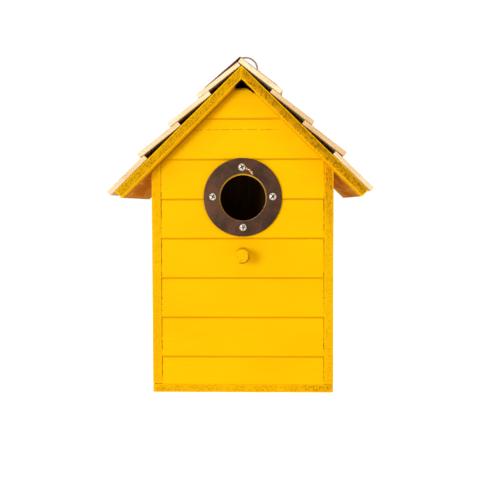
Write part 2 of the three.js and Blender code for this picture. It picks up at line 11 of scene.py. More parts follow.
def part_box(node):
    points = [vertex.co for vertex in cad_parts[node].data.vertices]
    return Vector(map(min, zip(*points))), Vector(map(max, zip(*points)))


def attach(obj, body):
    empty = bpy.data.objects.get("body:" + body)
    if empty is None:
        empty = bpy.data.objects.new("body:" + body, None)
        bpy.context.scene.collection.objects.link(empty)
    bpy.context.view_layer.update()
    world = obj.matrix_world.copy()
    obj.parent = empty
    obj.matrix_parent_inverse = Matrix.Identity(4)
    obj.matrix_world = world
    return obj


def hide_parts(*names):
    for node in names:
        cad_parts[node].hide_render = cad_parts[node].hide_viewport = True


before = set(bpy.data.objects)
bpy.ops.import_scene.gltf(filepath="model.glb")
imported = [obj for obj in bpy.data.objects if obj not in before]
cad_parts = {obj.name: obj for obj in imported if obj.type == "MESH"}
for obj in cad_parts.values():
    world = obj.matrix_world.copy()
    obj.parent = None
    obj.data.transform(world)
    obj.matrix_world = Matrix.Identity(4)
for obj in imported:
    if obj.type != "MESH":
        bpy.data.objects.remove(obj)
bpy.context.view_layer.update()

MM = 0.001
ROOF_SLOPE = math.radians(44.5)
X_AXIS = Vector((1, 0, 0))
Y_AXIS = Vector((0, 1, 0))
Z_AXIS = Vector((0, 0, 1))
BOARD_COUNT = 8
ROW_PLACES = ("front", "middle", "rear")
COURSES = (1, 2, 3, 4)
SIDES = {"left": -1, "right": 1}

FRONT_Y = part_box("left_wall")[0].y
BOARD_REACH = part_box("right_wall")[0].x
WALL_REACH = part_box("right_wall")[1].x


def middle(low, high):
    return (low + high) / 2


def along_slope(sign):
    """Down the roof on the left (-1) or right (1) side."""
    return Vector((sign * math.cos(ROOF_SLOPE), 0, -math.sin(ROOF_SLOPE)))


def off_slope(sign):
    """Straight out of the roof on the left (-1) or right (1) side."""
    return Vector((sign * math.sin(ROOF_SLOPE), 0, math.cos(ROOF_SLOPE)))


# ---- camera and view

CAMERA_LENS = 60
CAMERA_PLACE = Vector((16.15 * MM, FRONT_Y - 551.5 * MM, 130.1 * MM))
CAMERA_YAW = math.radians(1.85)
CAMERA_PITCH = math.radians(-2.46)
CAMERA_ROLL = math.radians(-0.17)


def place_camera():
    data = bpy.data.cameras.new("camera")
    data.lens = CAMERA_LENS
    data.sensor_width = 36
    data.clip_start = 0.01
    camera = bpy.data.objects.new("camera", data)
    bpy.context.scene.collection.objects.link(camera)
    camera.matrix_world = (
        Matrix.Translation(CAMERA_PLACE)
        @ Matrix.Rotation(CAMERA_YAW, 4, "Z")
        @ Matrix.Rotation(math.pi / 2 + CAMERA_PITCH, 4, "X")
        @ Matrix.Rotation(CAMERA_ROLL, 4, "Z")
    )
    bpy.context.scene.camera = camera


# ---- node tree help


def colour(red, green, blue):
    return (red, green, blue, 1.0)


class Nodes:
    """Adds nodes to a tree. An input is a value or another node's socket."""

    def __init__(self, tree):
        self.tree = tree

    def feed(self, node, key, value):
        socket = node.inputs[key]
        if isinstance(value, bpy.types.NodeSocket):
            self.tree.links.new(value, socket)
        else:
            socket.default_value = value

    def add(self, kind, inputs=None, **settings):
        node = self.tree.nodes.new(kind)
        for key, value in settings.items():
            setattr(node, key, value)
        for key, value in (inputs or {}).items():
            self.feed(node, key, value)
        return node

    def math(self, operation, first, second=0.0, clamp=False):
        node = self.add("ShaderNodeMath", {0: first, 1: second}, operation=operation, use_clamp=clamp)
        return node.outputs[0]

    def plus(self, first, second, clamp=False):
        return self.math("ADD", first, second, clamp)

    def minus(self, first, second):
        return self.math("SUBTRACT", first, second)

    def times(self, first, *others, clamp=False):
        for other in others:
            first = self.math("MULTIPLY", first, other, clamp)
        return first

    def larger(self, first, second):
        return self.math("MAXIMUM", first, second)

    def size(self, value):
        return self.math("ABSOLUTE", value)

    def vector(self, operation, first, second=(0, 0, 0)):
        node = self.add("ShaderNodeVectorMath", {0: first, 1: second}, operation=operation)
        return node.outputs["Value" if operation in ("LENGTH", "DOT_PRODUCT") else "Vector"]

    def scaled(self, vector, factor):
        node = self.add("ShaderNodeVectorMath", {0: vector, "Scale": factor}, operation="SCALE")
        return node.outputs["Vector"]

    def drawn(self, vector, *factors):
        """The vector with its X, Y and Z scaled by three factors."""
        return self.vector("MULTIPLY", vector, factors)

    def span(self, value, low, high, to_low=0.0, to_high=1.0):
        """The value from low to high as a smooth change from to_low to to_high."""
        inputs = {"Value": value, "From Min": low, "From Max": high, "To Min": to_low, "To Max": to_high}
        node = self.add("ShaderNodeMapRange", inputs, interpolation_type="SMOOTHSTEP")
        return node.outputs["Result"]

    def noise(self, vector, scale, detail=3.0, roughness=0.55, distortion=0.0):
        inputs = {"Vector": vector, "Scale": scale, "Detail": detail, "Roughness": roughness,
                  "Distortion": distortion}
        return self.add("ShaderNodeTexNoise", inputs).outputs["Fac"]

    def mix(self, factor, first, second):
        return self.add("ShaderNodeMix", {0: factor, 6: first, 7: second}, data_type="RGBA").outputs[2]

    def coated(self, base, *coats):
        """The base colour under coats, each of which is its cover and its colour."""
        for cover, tone in coats:
            base = self.mix(cover, base, colour(*tone))
        return base

    def blend(self, factor, first, second):
        node = self.add("ShaderNodeMix", {0: factor, 2: first, 3: second}, data_type="FLOAT")
        return node.outputs[0]

    def attribute(self, name, output="Fac"):
        return self.add("ShaderNodeAttribute", attribute_name=name).outputs[output]

    def object_place(self):
        return self.add("ShaderNodeTexCoord").outputs["Object"]

    def seen_by_camera(self):
        return self.add("ShaderNodeLightPath").outputs["Is Camera Ray"]

    def group(self, tree, **inputs):
        node = self.add("ShaderNodeGroup", node_tree=tree)
        for key, value in inputs.items():
            self.feed(node, key.replace("_", " "), value)
        return node.outputs


SOCKETS = {"float": "NodeSocketFloat", "vector": "NodeSocketVector", "int": "NodeSocketInt",
           "geometry": "NodeSocketGeometry", "object": "NodeSocketObject",
           "material": "NodeSocketMaterial"}


def new_tree(name, kind, inputs, outputs):
    """A node group with named sockets, and its input and output nodes."""
    tree = bpy.data.node_groups.new(name, kind)
    for way, sockets in (("INPUT", inputs), ("OUTPUT", outputs)):
        for label, socket in sockets.items():
            tree.interface.new_socket(label, in_out=way, socket_type=SOCKETS[socket])
    nodes = Nodes(tree)
    return tree, nodes, nodes.add("NodeGroupInput").outputs, nodes.add("NodeGroupOutput")


# ---- shared shader effects


def fibre_group():
    """Long fibres and wider growth bands, both running along the grain's X."""
    tree, n, given, out = new_tree(
        "wood_fibres", "ShaderNodeTree",
        {"Grain": "vector", "Fibre Size": "float", "Band Width": "float"},
        {"Fibre": "float", "Bands": "float"})
    drawn = n.drawn(given["Grain"], 0.055, 1.0, 1.0)
    fine = n.noise(n.scaled(drawn, n.math("DIVIDE", 1.0, given["Fibre Size"])), 1.0, 4.0, 0.6)
    bent = n.drawn(given["Grain"], 0.10, 1.0, 0.55)
    wide = n.noise(n.scaled(bent, n.math("DIVIDE", 1.0, given["Band Width"])), 1.0, 2.0, 0.45, 0.6)
    n.feed(out, "Fibre", fine)
    n.feed(out, "Bands", n.span(n.math("SINE", n.times(wide, 34.0)), -0.9, 1.0))
    return tree


def patch_group():
    """Ragged patches that cover more of the surface as Cover rises from 0 to 1."""
    tree, n, given, out = new_tree(
        "ragged_patches", "ShaderNodeTree",
        {"Place": "vector", "Size": "float", "Cover": "float", "Softness": "float"},
        {"Mask": "float"})
    spots = n.noise(n.scaled(given["Place"], n.math("DIVIDE", 1.0, given["Size"])), 1.0, 5.0, 0.62)
    edge = n.minus(0.78, n.times(given["Cover"], 0.56))
    n.feed(out, "Mask", n.span(spots, edge, n.plus(edge, given["Softness"])))
    return tree


FIBRES = fibre_group()
PATCHES = patch_group()


def patches(n, place, size, cover, softness):
    return n.group(PATCHES, Place=place, Size=size, Cover=cover, Softness=softness)["Mask"]


# ---- materials


def new_material(name):
    material = bpy.data.materials.new(name)
    material.use_nodes = True
    tree = material.node_tree
    tree.nodes.clear()
    n = Nodes(tree)
    shader = n.add("ShaderNodeBsdfPrincipled")
    output = n.add("ShaderNodeOutputMaterial")
    tree.links.new(shader.outputs["BSDF"], output.inputs["Surface"])
    return material, n, shader


def surface(n, shader, base, roughness, height, depth, metallic=0.0):
    """Feeds a shader. The height's full depth is in metres."""
    bump = n.add("ShaderNodeBump", {"Height": height, "Strength": 1.0, "Distance": depth})
    for key, value in (("Base Color", base), ("Roughness", roughness), ("Metallic", metallic),
                       ("Normal", bump.outputs["Normal"])):
        n.feed(shader, key, value)


def wood(n, fibre_size, band_width):
    """A place in the grain, and how strong its fibres and growth bands are there."""
    grain = n.attribute("grain", "Vector")
    fibres = n.group(FIBRES, Grain=grain, Fibre_Size=fibre_size, Band_Width=band_width)
    return grain, fibres["Fibre"], fibres["Bands"]


CRACK_HEIGHT = 182.3 * MM


def paint_cracks(n):
    """One fine split across the gable, broken along its length, and spots beside the walls
    where the paint has pulled away. The outcome is how much of the paint is gone."""
    place = n.object_place()
    spot = n.add("ShaderNodeSeparateXYZ", {0: place}).outputs
    wander = n.times(n.noise(place, 90.0, 2.0), 0.8 * MM)
    off_line = n.minus(n.plus(spot["Z"], wander), CRACK_HEIGHT + 0.4 * MM)
    line = n.span(n.size(off_line), 0.10 * MM, 0.34 * MM, 1.0, 0.0)
    broken = n.span(n.noise(n.drawn(place, 1.0, 0.0, 0.0), 210.0, 2.0), 0.42, 0.52)
    ends = n.span(n.size(n.plus(spot["X"], 6 * MM)), 26 * MM, 34 * MM, 0.65, 0.0)
    beside = n.span(n.size(spot["X"]), BOARD_REACH - 0.75 * MM, BOARD_REACH - 0.25 * MM)
    spots = n.span(n.noise(n.drawn(place, 0.2, 0.2, 1.0), 230.0, 3.0, 0.7), 0.53, 0.60)
    return n.larger(n.times(line, broken, ends), n.times(beside, spots, 0.85))


def yellow_paint(name, soak=0.35, sawn_shade=0.15, edge_wear_and_shade=0.12, grain_depth=0.05, lap_shade=0.0,
                 rub_and_shade_cover=0.40, cracks=False):
    """Outdoor paint on timber. Soak is how blotchy the thin faces are, where end grain
    drinks the paint; sawn_shade is how much darker they are all over; lap_shade is how
    much painted shade darkens the long edges, where the lap grooves fall."""
    material, n, shader = new_material(name)
    grain, fibre, bands = wood(n, 0.9 * MM, 17 * MM)
    edge, sawn, rim, bare, joint_shade = map(n.attribute, ("edge", "sawn", "rim", "bare", "joint_shade"))
    drift = n.noise(n.drawn(grain, 0.35, 1.0, 1.0), 42.0, 3.0)
    streaks = n.times(n.span(fibre, 0.42, 0.75), 0.20)
    tone = n.plus(n.span(drift, 0.35, 0.75, 0.0, 0.28), streaks, clamp=True)

    # thin faces are darker, and blotched away from their bright rims
    thin = n.times(sawn, n.span(rim, 0.3 * MM, 1.5 * MM))
    speckle = patches(n, grain, 1.1 * MM, 0.58, 0.16)
    cloud = patches(n, grain, 6.0 * MM, 0.78, 0.18)
    blotch = n.times(speckle, cloud, n.times(thin, soak), clamp=True)

    # corners are rubbed to a darker line of primer and wood, here and there; on the perch's end the same
    # darker line is painted shade, along its lower right rim
    rub_and_shade = patches(n, grain, 3.2 * MM, rub_and_shade_cover, 0.10)
    wear = n.times(n.span(edge, 0.25, 0.9), rub_and_shade, edge_wear_and_shade)

    coats = [(tone, (0.93, 0.440, 0.0004)),
             (n.times(thin, sawn_shade, clamp=True), (0.50, 0.20, 0.002)),
             (blotch, (0.28, 0.105, 0.003)),
             # painted shade along the boards' long edges, where the lap grooves fall
             (n.times(n.span(edge, 0.0, 0.4), lap_shade), (0.46, 0.150, 0.0004)),
             # painted shade where the left roof panel meets the boards
             (joint_shade, (0.30, 0.10, 0.002)),
             (wear, (0.29, 0.12, 0.005))]
    height = n.plus(fibre, n.times(thin, n.noise(grain, 1500.0, 4.0, 0.7)))
    if cracks:
        gone = paint_cracks(n)
        coats.append((gone, (0.22, 0.09, 0.005)))
        height = n.minus(height, gone)
    paint = n.coated(colour(1.0, 0.550, 0.0006), *coats)

    # unpainted timber inside and under the roof; where the attribute goes from 1.2 to 1.9 it turns into
    # near-black painted shade
    timber = n.coated(colour(0.86, 0.45, 0.085),
                      (bands, (0.70, 0.30, 0.030)),
                      (n.span(fibre, 0.35, 0.7, 0.0, 0.6), (0.48, 0.18, 0.012)),
                      (n.span(bare, 1.2, 1.9), (0.022, 0.010, 0.004)))
    ragged = n.times(n.noise(grain, 260.0, 3.0), 0.5)
    bare_mask = n.span(n.plus(bare, ragged), 0.50, 1.0)
    rough = n.blend(n.larger(blotch, wear), n.plus(0.44, n.times(fibre, 0.16)), 0.85)
    brushed = n.noise(n.drawn(grain, 0.06, 1.0, 1.0), 1700.0, 2.0)
    surface(n, shader, n.mix(bare_mask, paint, timber), n.blend(bare_mask, rough, 0.85),
            n.plus(height, n.times(brushed, 0.35)), grain_depth * MM)
    n.feed(shader, "Specular IOR Level", 0.012)
    return material


def shingle_wood():
    """Bare pale timber, each shingle a little different, weathered at its edges."""
    material, n, shader = new_material("shingle_timber")
    grain, fibre, bands = wood(n, 0.55 * MM, 9 * MM)
    edge, sawn, shade = map(n.attribute, ("edge", "sawn", "shade"))
    pale = n.mix(shade, colour(1.0, 0.82, 0.50), colour(0.80, 0.49, 0.21))
    late = n.mix(shade, colour(0.93, 0.66, 0.31), colour(0.62, 0.32, 0.11))
    sun = patches(n, grain, 11 * MM, 0.5, 0.3)
    pores = patches(n, n.drawn(grain, 0.12, 1.0, 1.0), 0.45 * MM, 0.20, 0.06)
    grubby = patches(n, grain, 2.6 * MM, 0.45, 0.2)
    base = n.coated(n.mix(n.times(bands, 0.60), pale, late),
                    (n.span(fibre, 0.45, 0.8, 0.0, 0.40), (0.62, 0.34, 0.12)),
                    (n.times(sun, 0.28), (0.99, 0.86, 0.62)),
                    (n.times(pores, 0.5), (0.30, 0.15, 0.06)),
                    (n.times(n.span(edge, 0.3, 0.95), grubby, 0.5), (0.44, 0.25, 0.11)))
    saw = n.noise(n.drawn(grain, 1.0, 0.12, 0.12), 1900.0, 2.0)
    height = n.plus(fibre, n.times(saw, sawn, 0.8))
    surface(n, shader, base, n.plus(0.68, n.times(fibre, 0.2)), n.minus(height, n.times(pores, 0.9)),
            0.14 * MM)
    return material


def bare_timber():
    material, n, shader = new_material("bare_timber")
    grain, fibre, bands = wood(n, 0.7 * MM, 9 * MM)
    base = n.coated(colour(0.56, 0.27, 0.075),
                    (bands, (0.40, 0.165, 0.038)),
                    (n.span(fibre, 0.4, 0.75, 0.0, 0.5), (0.27, 0.11, 0.03)))
    surface(n, shader, base, n.plus(0.7, n.times(fibre, 0.15)), fibre, 0.1 * MM)
    return material


def scratch_track(n, place, scuff_place):
    """A bowed track about one place, left by a slipped screwdriver."""
    away = n.vector("SUBTRACT", place, scuff_place)
    along = n.vector("DOT_PRODUCT", away, (0.72, 0.0, -0.70))
    across = n.vector("DOT_PRODUCT", away, (0.70, 0.0, 0.72))
    across = n.size(n.plus(across, n.times(along, along, 47.0)))
    return n.times(n.span(across, 0.4 * MM, 2.0 * MM, 1.0, 0.0),
                   n.span(n.size(along), 3.2 * MM, 4.8 * MM, 1.0, 0.0))


def aged_bronze(name, dark, warm, rim_wear, scuff_place=None):
    """Dark brown patina over copper, worn bright at its edges and in a scuff."""
    material, n, shader = new_material(name)
    place = n.object_place()
    cloud = n.noise(place, 62.0, 3.0, 0.5, 0.5)
    fine = n.noise(place, 620.0, 5.0, 0.7)
    grainy = n.noise(place, 2100.0, 2.0, 0.6)
    crumbs = n.noise(place, 1250.0, 3.0, 0.7)
    bright = n.times(n.span(n.attribute("edge"), 0.35, 0.95), rim_wear, n.span(crumbs, 0.30, 0.62))
    if scuff_place:
        scratched = n.times(crumbs, scratch_track(n, place, scuff_place))
        bright = n.larger(bright, n.span(scratched, 0.50, 0.57))
    base = n.coated(colour(*dark),
                    (n.span(cloud, 0.38, 0.62), warm),
                    (n.span(fine, 0.40, 0.75, 0.0, 0.45), (0.105, 0.050, 0.028)),
                    (n.span(grainy, 0.48, 0.30, 0.0, 0.7), (0.010, 0.005, 0.003)),
                    (bright, (0.88, 0.44, 0.22)))
    height = n.minus(n.plus(fine, n.times(grainy, 0.6)), n.times(bright, 0.4))
    surface(n, shader, base, n.blend(bright, n.plus(0.30, n.times(fine, 0.22)), 0.3), height,
            0.04 * MM, n.blend(bright, 0.80, 0.95))
    return material


def plated_metal(name, light, dark, roughness, drawn=(1, 1, 1)):
    """Dull bright metal: handling marks, and painted shade in recesses such as the screws' crosses."""
    material, n, shader = new_material(name)
    place = n.object_place()
    cloud = n.noise(place, 420.0, 4.0, 0.6)
    marks = n.noise(n.drawn(place, *drawn), 1900.0, 3.0, 0.65)
    spots = patches(n, place, 0.7 * MM, 0.30, 0.1)
    recess_shade = n.span(n.attribute("recess_shade"), 0.1, 0.7)
    base = n.coated(colour(*light),
                    (n.span(cloud, 0.35, 0.7), dark),
                    (n.times(spots, 0.45), (0.10, 0.07, 0.05)),
                    (recess_shade, (0.035, 0.022, 0.012)))
    rough = n.blend(spots, n.plus(roughness, n.times(marks, 0.2)), 0.6)
    surface(n, shader, base, rough, marks, 0.03 * MM, n.blend(n.larger(spots, recess_shade), 0.95, 0.4))
    return material


RING_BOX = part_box("entrance_ring")
RING_MIDDLE = middle(*RING_BOX)
SCUFF = tuple(RING_MIDDLE + Vector((5.3 * MM, -0.6 * MM, 17.9 * MM)))

PAINT_BOARD = yellow_paint("paint_boards", lap_shade=0.50, cracks=True)
PAINT_WALL = yellow_paint("paint_walls", soak=0.26, sawn_shade=0.14, edge_wear_and_shade=0.30, grain_depth=0.07)
PAINT_ROOF = yellow_paint("paint_roof", soak=0.95, sawn_shade=0.62, edge_wear_and_shade=0.20, grain_depth=0.09)
PAINT_FLOOR = yellow_paint("paint_floor", soak=0.55, sawn_shade=0.18, edge_wear_and_shade=0.75, grain_depth=0.08)
PAINT_DOOR = yellow_paint("paint_door", soak=0.3, sawn_shade=0.1, edge_wear_and_shade=0.5, grain_depth=0.06)
# edge wear here reaches nearly all edges, so the painted shade on the perch's end shows in full
PAINT_SMALL = yellow_paint("paint_small", sawn_shade=0.05, edge_wear_and_shade=0.9, grain_depth=0.12,
                           rub_and_shade_cover=0.95)
SHINGLE = shingle_wood()
TIMBER = bare_timber()
BRONZE_RING = aged_bronze("bronze_ring", (0.034, 0.015, 0.007), (0.082, 0.032, 0.014), 0.4, SCUFF)
BRONZE_CAP = aged_bronze("bronze_cap", (0.090, 0.012, 0.009), (0.170, 0.036, 0.022), 0.8)
ZINC = plated_metal("zinc_plate", (0.95, 0.90, 0.79), (0.62, 0.57, 0.48), 0.22)
BRASS = plated_metal("dull_brass", (0.50, 0.34, 0.14), (0.28, 0.17, 0.06), 0.32)
COPPER = plated_metal("dull_copper", (0.64, 0.38, 0.26), (0.36, 0.19, 0.12), 0.42, (1.0, 1.0, 0.2))


# ---- mesh making


def set_attribute(mesh, name, values):
    values = np.asarray(values, np.float32)
    kind, field = ("FLOAT_VECTOR", "vector") if values.ndim == 2 else ("FLOAT", "value")
    attribute = mesh.attributes.get(name) or mesh.attributes.new(name, kind, "POINT")
    attribute.data.foreach_set(field, values.ravel())


def points_of(mesh):
    points = np.zeros(len(mesh.vertices) * 3, np.float32)
    mesh.vertices.foreach_get("co", points)
    return points.reshape(-1, 3).astype(float)


def move_points(mesh, points):
    mesh.vertices.foreach_set("co", points.astype(np.float32).ravel())
    mesh.update()


@contextlib.contextmanager
def edited(mesh):
    bm = bmesh.new()
    bm.from_mesh(mesh)
    yield bm
    bm.to_mesh(mesh)
    bm.free()


def link(name, data, *materials):
    for material in materials:
        data.materials.append(material)
    piece = bpy.data.objects.new(name, data)
    bpy.context.scene.collection.objects.link(piece)
    return piece


def smooth(mesh, angle=38):
    mesh.shade_smooth()
    mesh.set_sharp_from_angle(angle=math.radians(angle))


def made_by_modifiers(piece):
    graph = bpy.context.evaluated_depsgraph_get()
    return bpy.data.meshes.new_from_object(piece.evaluated_get(graph))


def settle(piece):
    """Gives a piece the plain mesh that its modifiers make, and removes the modifiers."""
    mesh = made_by_modifiers(piece)
    piece.modifiers.clear()
    old = piece.data
    piece.data = mesh
    bpy.data.meshes.remove(old)
    return mesh


def stand_for(piece, body, slot, *nodes):
    """Attaches a piece to the body it rides and hides the CAD nodes it replaces. The slot argument is not
    used.
    """
    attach(piece, body)
    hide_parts(*nodes)


def node_points(node):
    return points_of(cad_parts[node].data)


def corner_signs():
    return itertools.product((-1, 1), repeat=3)


def corners_of(node, along, across, outward):
    """The node's eight corners, by the signs of its three directions. A longer direction
    counts for more where two corners are nearly as far out."""
    points = node_points(node)
    corners = {}
    for signs in corner_signs():
        direction = signs[0] * along + signs[1] * across + signs[2] * outward
        corners[signs] = points[np.argmax(points @ np.array(direction))]
    return corners


def stops(half, radius, cells):
    """Where the grid lines cross one axis: even in the middle, close in the round ends."""
    turn = np.tan(np.linspace(0, math.pi / 4, 3)[1:])
    ends = half - radius + radius * turn
    middle_stops = np.linspace(radius - half, half - radius, cells + 1)
    return np.concatenate([-ends[::-1], middle_stops, ends])


def rounded_block(size, radius, cells, end_share):
    """A block with round edges, centred on the origin. Returns its grid points, the same
    points with the edges rounded, the outward directions and the faces. The rounding is
    narrower by end_share where it meets the block's ends."""
    half = np.array(size) / 2
    lines = [stops(half[i], radius, cells[i]) for i in range(3)]
    counts = [len(line) for line in lines]
    index = {}
    faces = []
    for axis in range(3):
        a, b = [i for i in range(3) if i != axis]
        for end in (0, counts[axis] - 1):
            for i, j in itertools.product(range(counts[a] - 1), range(counts[b] - 1)):
                ring = []
                for di, dj in ((0, 0), (1, 0), (1, 1), (0, 1)):
                    key = [0, 0, 0]
                    key[axis], key[a], key[b] = end, i + di, j + dj
                    ring.append(index.setdefault(tuple(key), len(index)))
                outwards = (end > 0) == (axis != 1)
                faces.append(ring if outwards else ring[::-1])
    keys = np.array(list(index))
    flat = np.stack([lines[i][keys[:, i]] for i in range(3)], 1)
    core = np.clip(flat, radius - half, half - radius)
    reach = flat - core
    outward = reach / np.linalg.norm(reach, axis=1, keepdims=True)
    round_points = core + radius * outward
    for points in (flat, round_points):
        past = np.clip(np.abs(points[:, 0]) - (half[0] - radius), 0, None)
        points[:, 0] += np.sign(points[:, 0]) * (radius - past) * (1 - end_share) * (past > 0)
    return flat, round_points, outward, faces


def bumps(points, size, shift=Vector()):
    """Soft random heights from -1 to 1, of the given size, one for each point."""
    return np.clip([noise.noise(Vector(point) / size + shift) for point in points], -1, 1)


def uneven(points, outward, depth, size, seed):
    """Points pushed in by up to twice the depth, in soft hollows of the given size."""
    shift = Vector((seed * 3.17, seed * 7.31, seed * 1.93))
    return points - outward * (depth * (1 + bumps(points, size, shift)))[:, None]


def nowhere(flat, half, points):
    return np.zeros(len(flat))


def everywhere(flat, half, points):
    return np.ones(len(flat))


def timber_mesh(name, corners, cells, seed, radius=0.5 * MM, hollow=0.06 * MM, bare=nowhere,
                soak=everywhere, end_share=1.0):
    """A board through eight corners. X runs along its grain, Y across and Z through it.
    Attributes: grain (metres along those axes), edge, sawn (thin faces), rim (distance
    from a thin face's nearest edge) and bare (unpainted; above 1.2 painted shade)."""
    def flipped(signs, axis):
        return tuple(-sign if i == axis else sign for i, sign in enumerate(signs))

    size = [np.mean([np.linalg.norm(corners[s] - corners[flipped(s, axis)]) for s in corners])
            for axis in range(3)]
    half = np.array(size) / 2
    flat, round_points, outward, faces = rounded_block(size, radius, cells, end_share)
    local = uneven(round_points, outward, hollow, 11 * MM, seed)
    local = uneven(local, outward, hollow * 0.4, 3 * MM, seed + 5)
    points = np.zeros_like(local)
    for signs, corner in corners.items():
        weight = np.prod((1 + local / half * np.array(signs)) / 2, axis=1)
        points += weight[:, None] * corner
    last = (1, 1, 1)
    spread = [corners[last] - corners[flipped(last, axis)] for axis in range(3)]
    if np.linalg.det(np.array(spread)) < 0:
        faces = [face[::-1] for face in faces]
    mesh = bpy.data.meshes.new(name)
    mesh.from_pydata(points.tolist(), [], faces)
    # where the ends are sharper than the long edges, only the long edges count
    ranked = np.sort((np.abs(flat) - (half - radius))[:, 1 if end_share < 1 else 0:], axis=1)
    broad = np.abs(flat[:, 2]) > half[2] - 1e-9
    set_attribute(mesh, "grain", flat + np.array([seed * 0.173, seed * 0.091, seed * 0.057]))
    set_attribute(mesh, "edge", np.clip(ranked[:, -2] / radius, 0, 1))
    set_attribute(mesh, "sawn", np.where(broad, 0.0, soak(flat, half, points)))
    set_attribute(mesh, "rim", np.sort(half - np.abs(flat), axis=1)[:, 1])
    set_attribute(mesh, "bare", bare(flat, half, points))
    smooth(mesh)
    return mesh


def shaded_inner_face(flat, half, points):
    """Unpainted timber with near-black painted shade on the face that looks into the house. The brush
    reached a little way in behind the front."""
    behind = np.clip((points[:, 1] - FRONT_Y) / (1 * MM) - 1.5, 0, 1)
    return np.where(flat[:, 2] < -half[2] + 1e-9, 1.65 * behind, 0.0)


def tag_grain(mesh, along, across, broad, seed):
    """Gives a mesh of any shape the same attributes as a board, from its own points. Faces
    narrower than broad count as edges."""
    points = points_of(mesh)
    axes = np.array([along, across, along.cross(across)])
    set_attribute(mesh, "grain", points @ axes.T + seed * 0.11)
    sharp = np.zeros(len(points))
    with edited(mesh) as bm:
        for vertex in bm.verts:
            widths = [face.calc_area() / max(edge.calc_length() for edge in face.edges)
                      for face in vertex.link_faces]
            sharp[vertex.index] = max(widths, default=0.0) <= broad
    set_attribute(mesh, "edge", sharp)
    for name in ("sawn", "rim", "bare"):
        set_attribute(mesh, name, np.zeros(len(points)))


def refined(name, node, radius, material, along=X_AXIS, across=Z_AXIS, seed=1, segments=3):
    """A copy of a CAD node with its flat faces merged and its edges rounded."""
    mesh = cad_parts[node].data.copy()
    mesh.name = name
    mesh.materials.clear()
    with edited(mesh) as bm:
        bmesh.ops.remove_doubles(bm, verts=bm.verts, dist=1e-6)
        bmesh.ops.dissolve_limit(bm, angle_limit=math.radians(1), verts=bm.verts, edges=bm.edges)
    piece = link(name, mesh, material)
    bevel = piece.modifiers.new("round", "BEVEL")
    bevel.width = radius
    bevel.segments = segments
    bevel.limit_method = "ANGLE"
    bevel.angle_limit = math.radians(32)
    mesh = settle(piece)
    tag_grain(mesh, along, across, 1.5 * radius, seed)
    smooth(mesh)
    return piece


def cut_round_hole(piece, centre, radius, depth):
    """Cuts a round hole along Y through a piece."""
    bpy.ops.mesh.primitive_cylinder_add(vertices=96, radius=radius, depth=depth,
                                        location=centre, rotation=(math.pi / 2, 0, 0))
    cutter = bpy.context.object
    hole = piece.modifiers.new("hole", "BOOLEAN")
    hole.operation = "DIFFERENCE"
    hole.solver = "EXACT"
    hole.object = cutter
    settle(piece)
    cutter_mesh = cutter.data
    bpy.data.objects.remove(cutter)
    bpy.data.meshes.remove(cutter_mesh)


def soft_corner(radius, reach, inward_radius, inward_reach, soft, steps):
    """A quarter circle at a profile's corner, from its side to its face."""
    turns = [math.pi / 2 * step / steps for step in range(steps + 1)]
    return [(radius + inward_radius * soft * (1 - math.cos(turn)),
             reach + inward_reach * soft * (1 - math.sin(turn))) for turn in turns]


def turned(name, profile, segments, material):
    """A round piece about -Y from its profile: (radius, distance along the axis) points.
    The profile starts and ends on the axis or closes on itself."""
    bm = bmesh.new()
    rings = []
    turns = [2 * math.pi * i / segments for i in range(segments)]
    for radius, y in profile:
        on_axis = radius < 1e-9
        rings.append([bm.verts.new((radius * math.cos(t), -y, radius * math.sin(t)))
                      for t in (turns[:1] if on_axis else turns)])
    closed = profile[0][0] > 0
    for first, second in zip(rings, rings[1:] + rings[:1] if closed else rings[1:]):
        for i in range(segments):
            j = (i + 1) % segments
            ring = [first[i % len(first)], first[j % len(first)],
                    second[j % len(second)], second[i % len(second)]]
            bm.faces.new(list(dict.fromkeys(ring)))
    bmesh.ops.recalc_face_normals(bm, faces=bm.faces)
    mesh = bpy.data.meshes.new(name)
    bm.to_mesh(mesh)
    bm.free()
    return link(name, mesh, material)


# ---- geometry nodes


class GeometryNodes(Nodes):
    """Also adds the steps that the geometry trees share."""

    def xyz(self, x=0.0, y=0.0, z=0.0):
        return self.add("ShaderNodeCombineXYZ", {"X": x, "Y": y, "Z": z}).outputs[0]

    def position(self):
        return self.add("GeometryNodeInputPosition").outputs[0]

    def named(self, name, kind="FLOAT"):
        return self.add("GeometryNodeInputNamedAttribute", {"Name": name}, data_type=kind).outputs[0]

    def stored(self, geometry, name, value, kind, domain):
        inputs = {"Geometry": geometry, "Name": name, "Value": value}
        node = self.add("GeometryNodeStoreNamedAttribute", inputs, data_type=kind, domain=domain)
        return node.outputs[0]

    def pushed(self, geometry, offset):
        return self.add("GeometryNodeSetPosition", {"Geometry": geometry, "Offset": offset}).outputs[0]

    def moved(self, geometry, place, rotation=(0, 0, 0)):
        inputs = {"Geometry": geometry, "Translation": place, "Rotation": rotation}
        return self.add("GeometryNodeTransform", inputs).outputs[0]

    def joined(self, *geometries):
        node = self.add("GeometryNodeJoinGeometry")
        for geometry in geometries:
            self.tree.links.new(geometry, node.inputs[0])
        return node.outputs[0]

    def laid(self, points, instance, rotation, scale=(1, 1, 1)):
        inputs = {"Points": points, "Instance": instance, "Rotation": rotation, "Scale": scale}
        return self.add("GeometryNodeInstanceOnPoints", inputs).outputs[0]

    def real(self, instances):
        return self.add("GeometryNodeRealizeInstances", {"Geometry": instances}).outputs[0]

    def finish(self, out, geometry, material):
        node = self.add("GeometryNodeSetMaterial", {"Geometry": geometry, "Material": material})
        self.feed(out, "Geometry", node.outputs[0])


def new_geometry_tree(name, inputs):
    tree, nodes, given, out = new_tree(name, "GeometryNodeTree", inputs, {"Geometry": "geometry"})
    return tree, GeometryNodes(tree), given, out


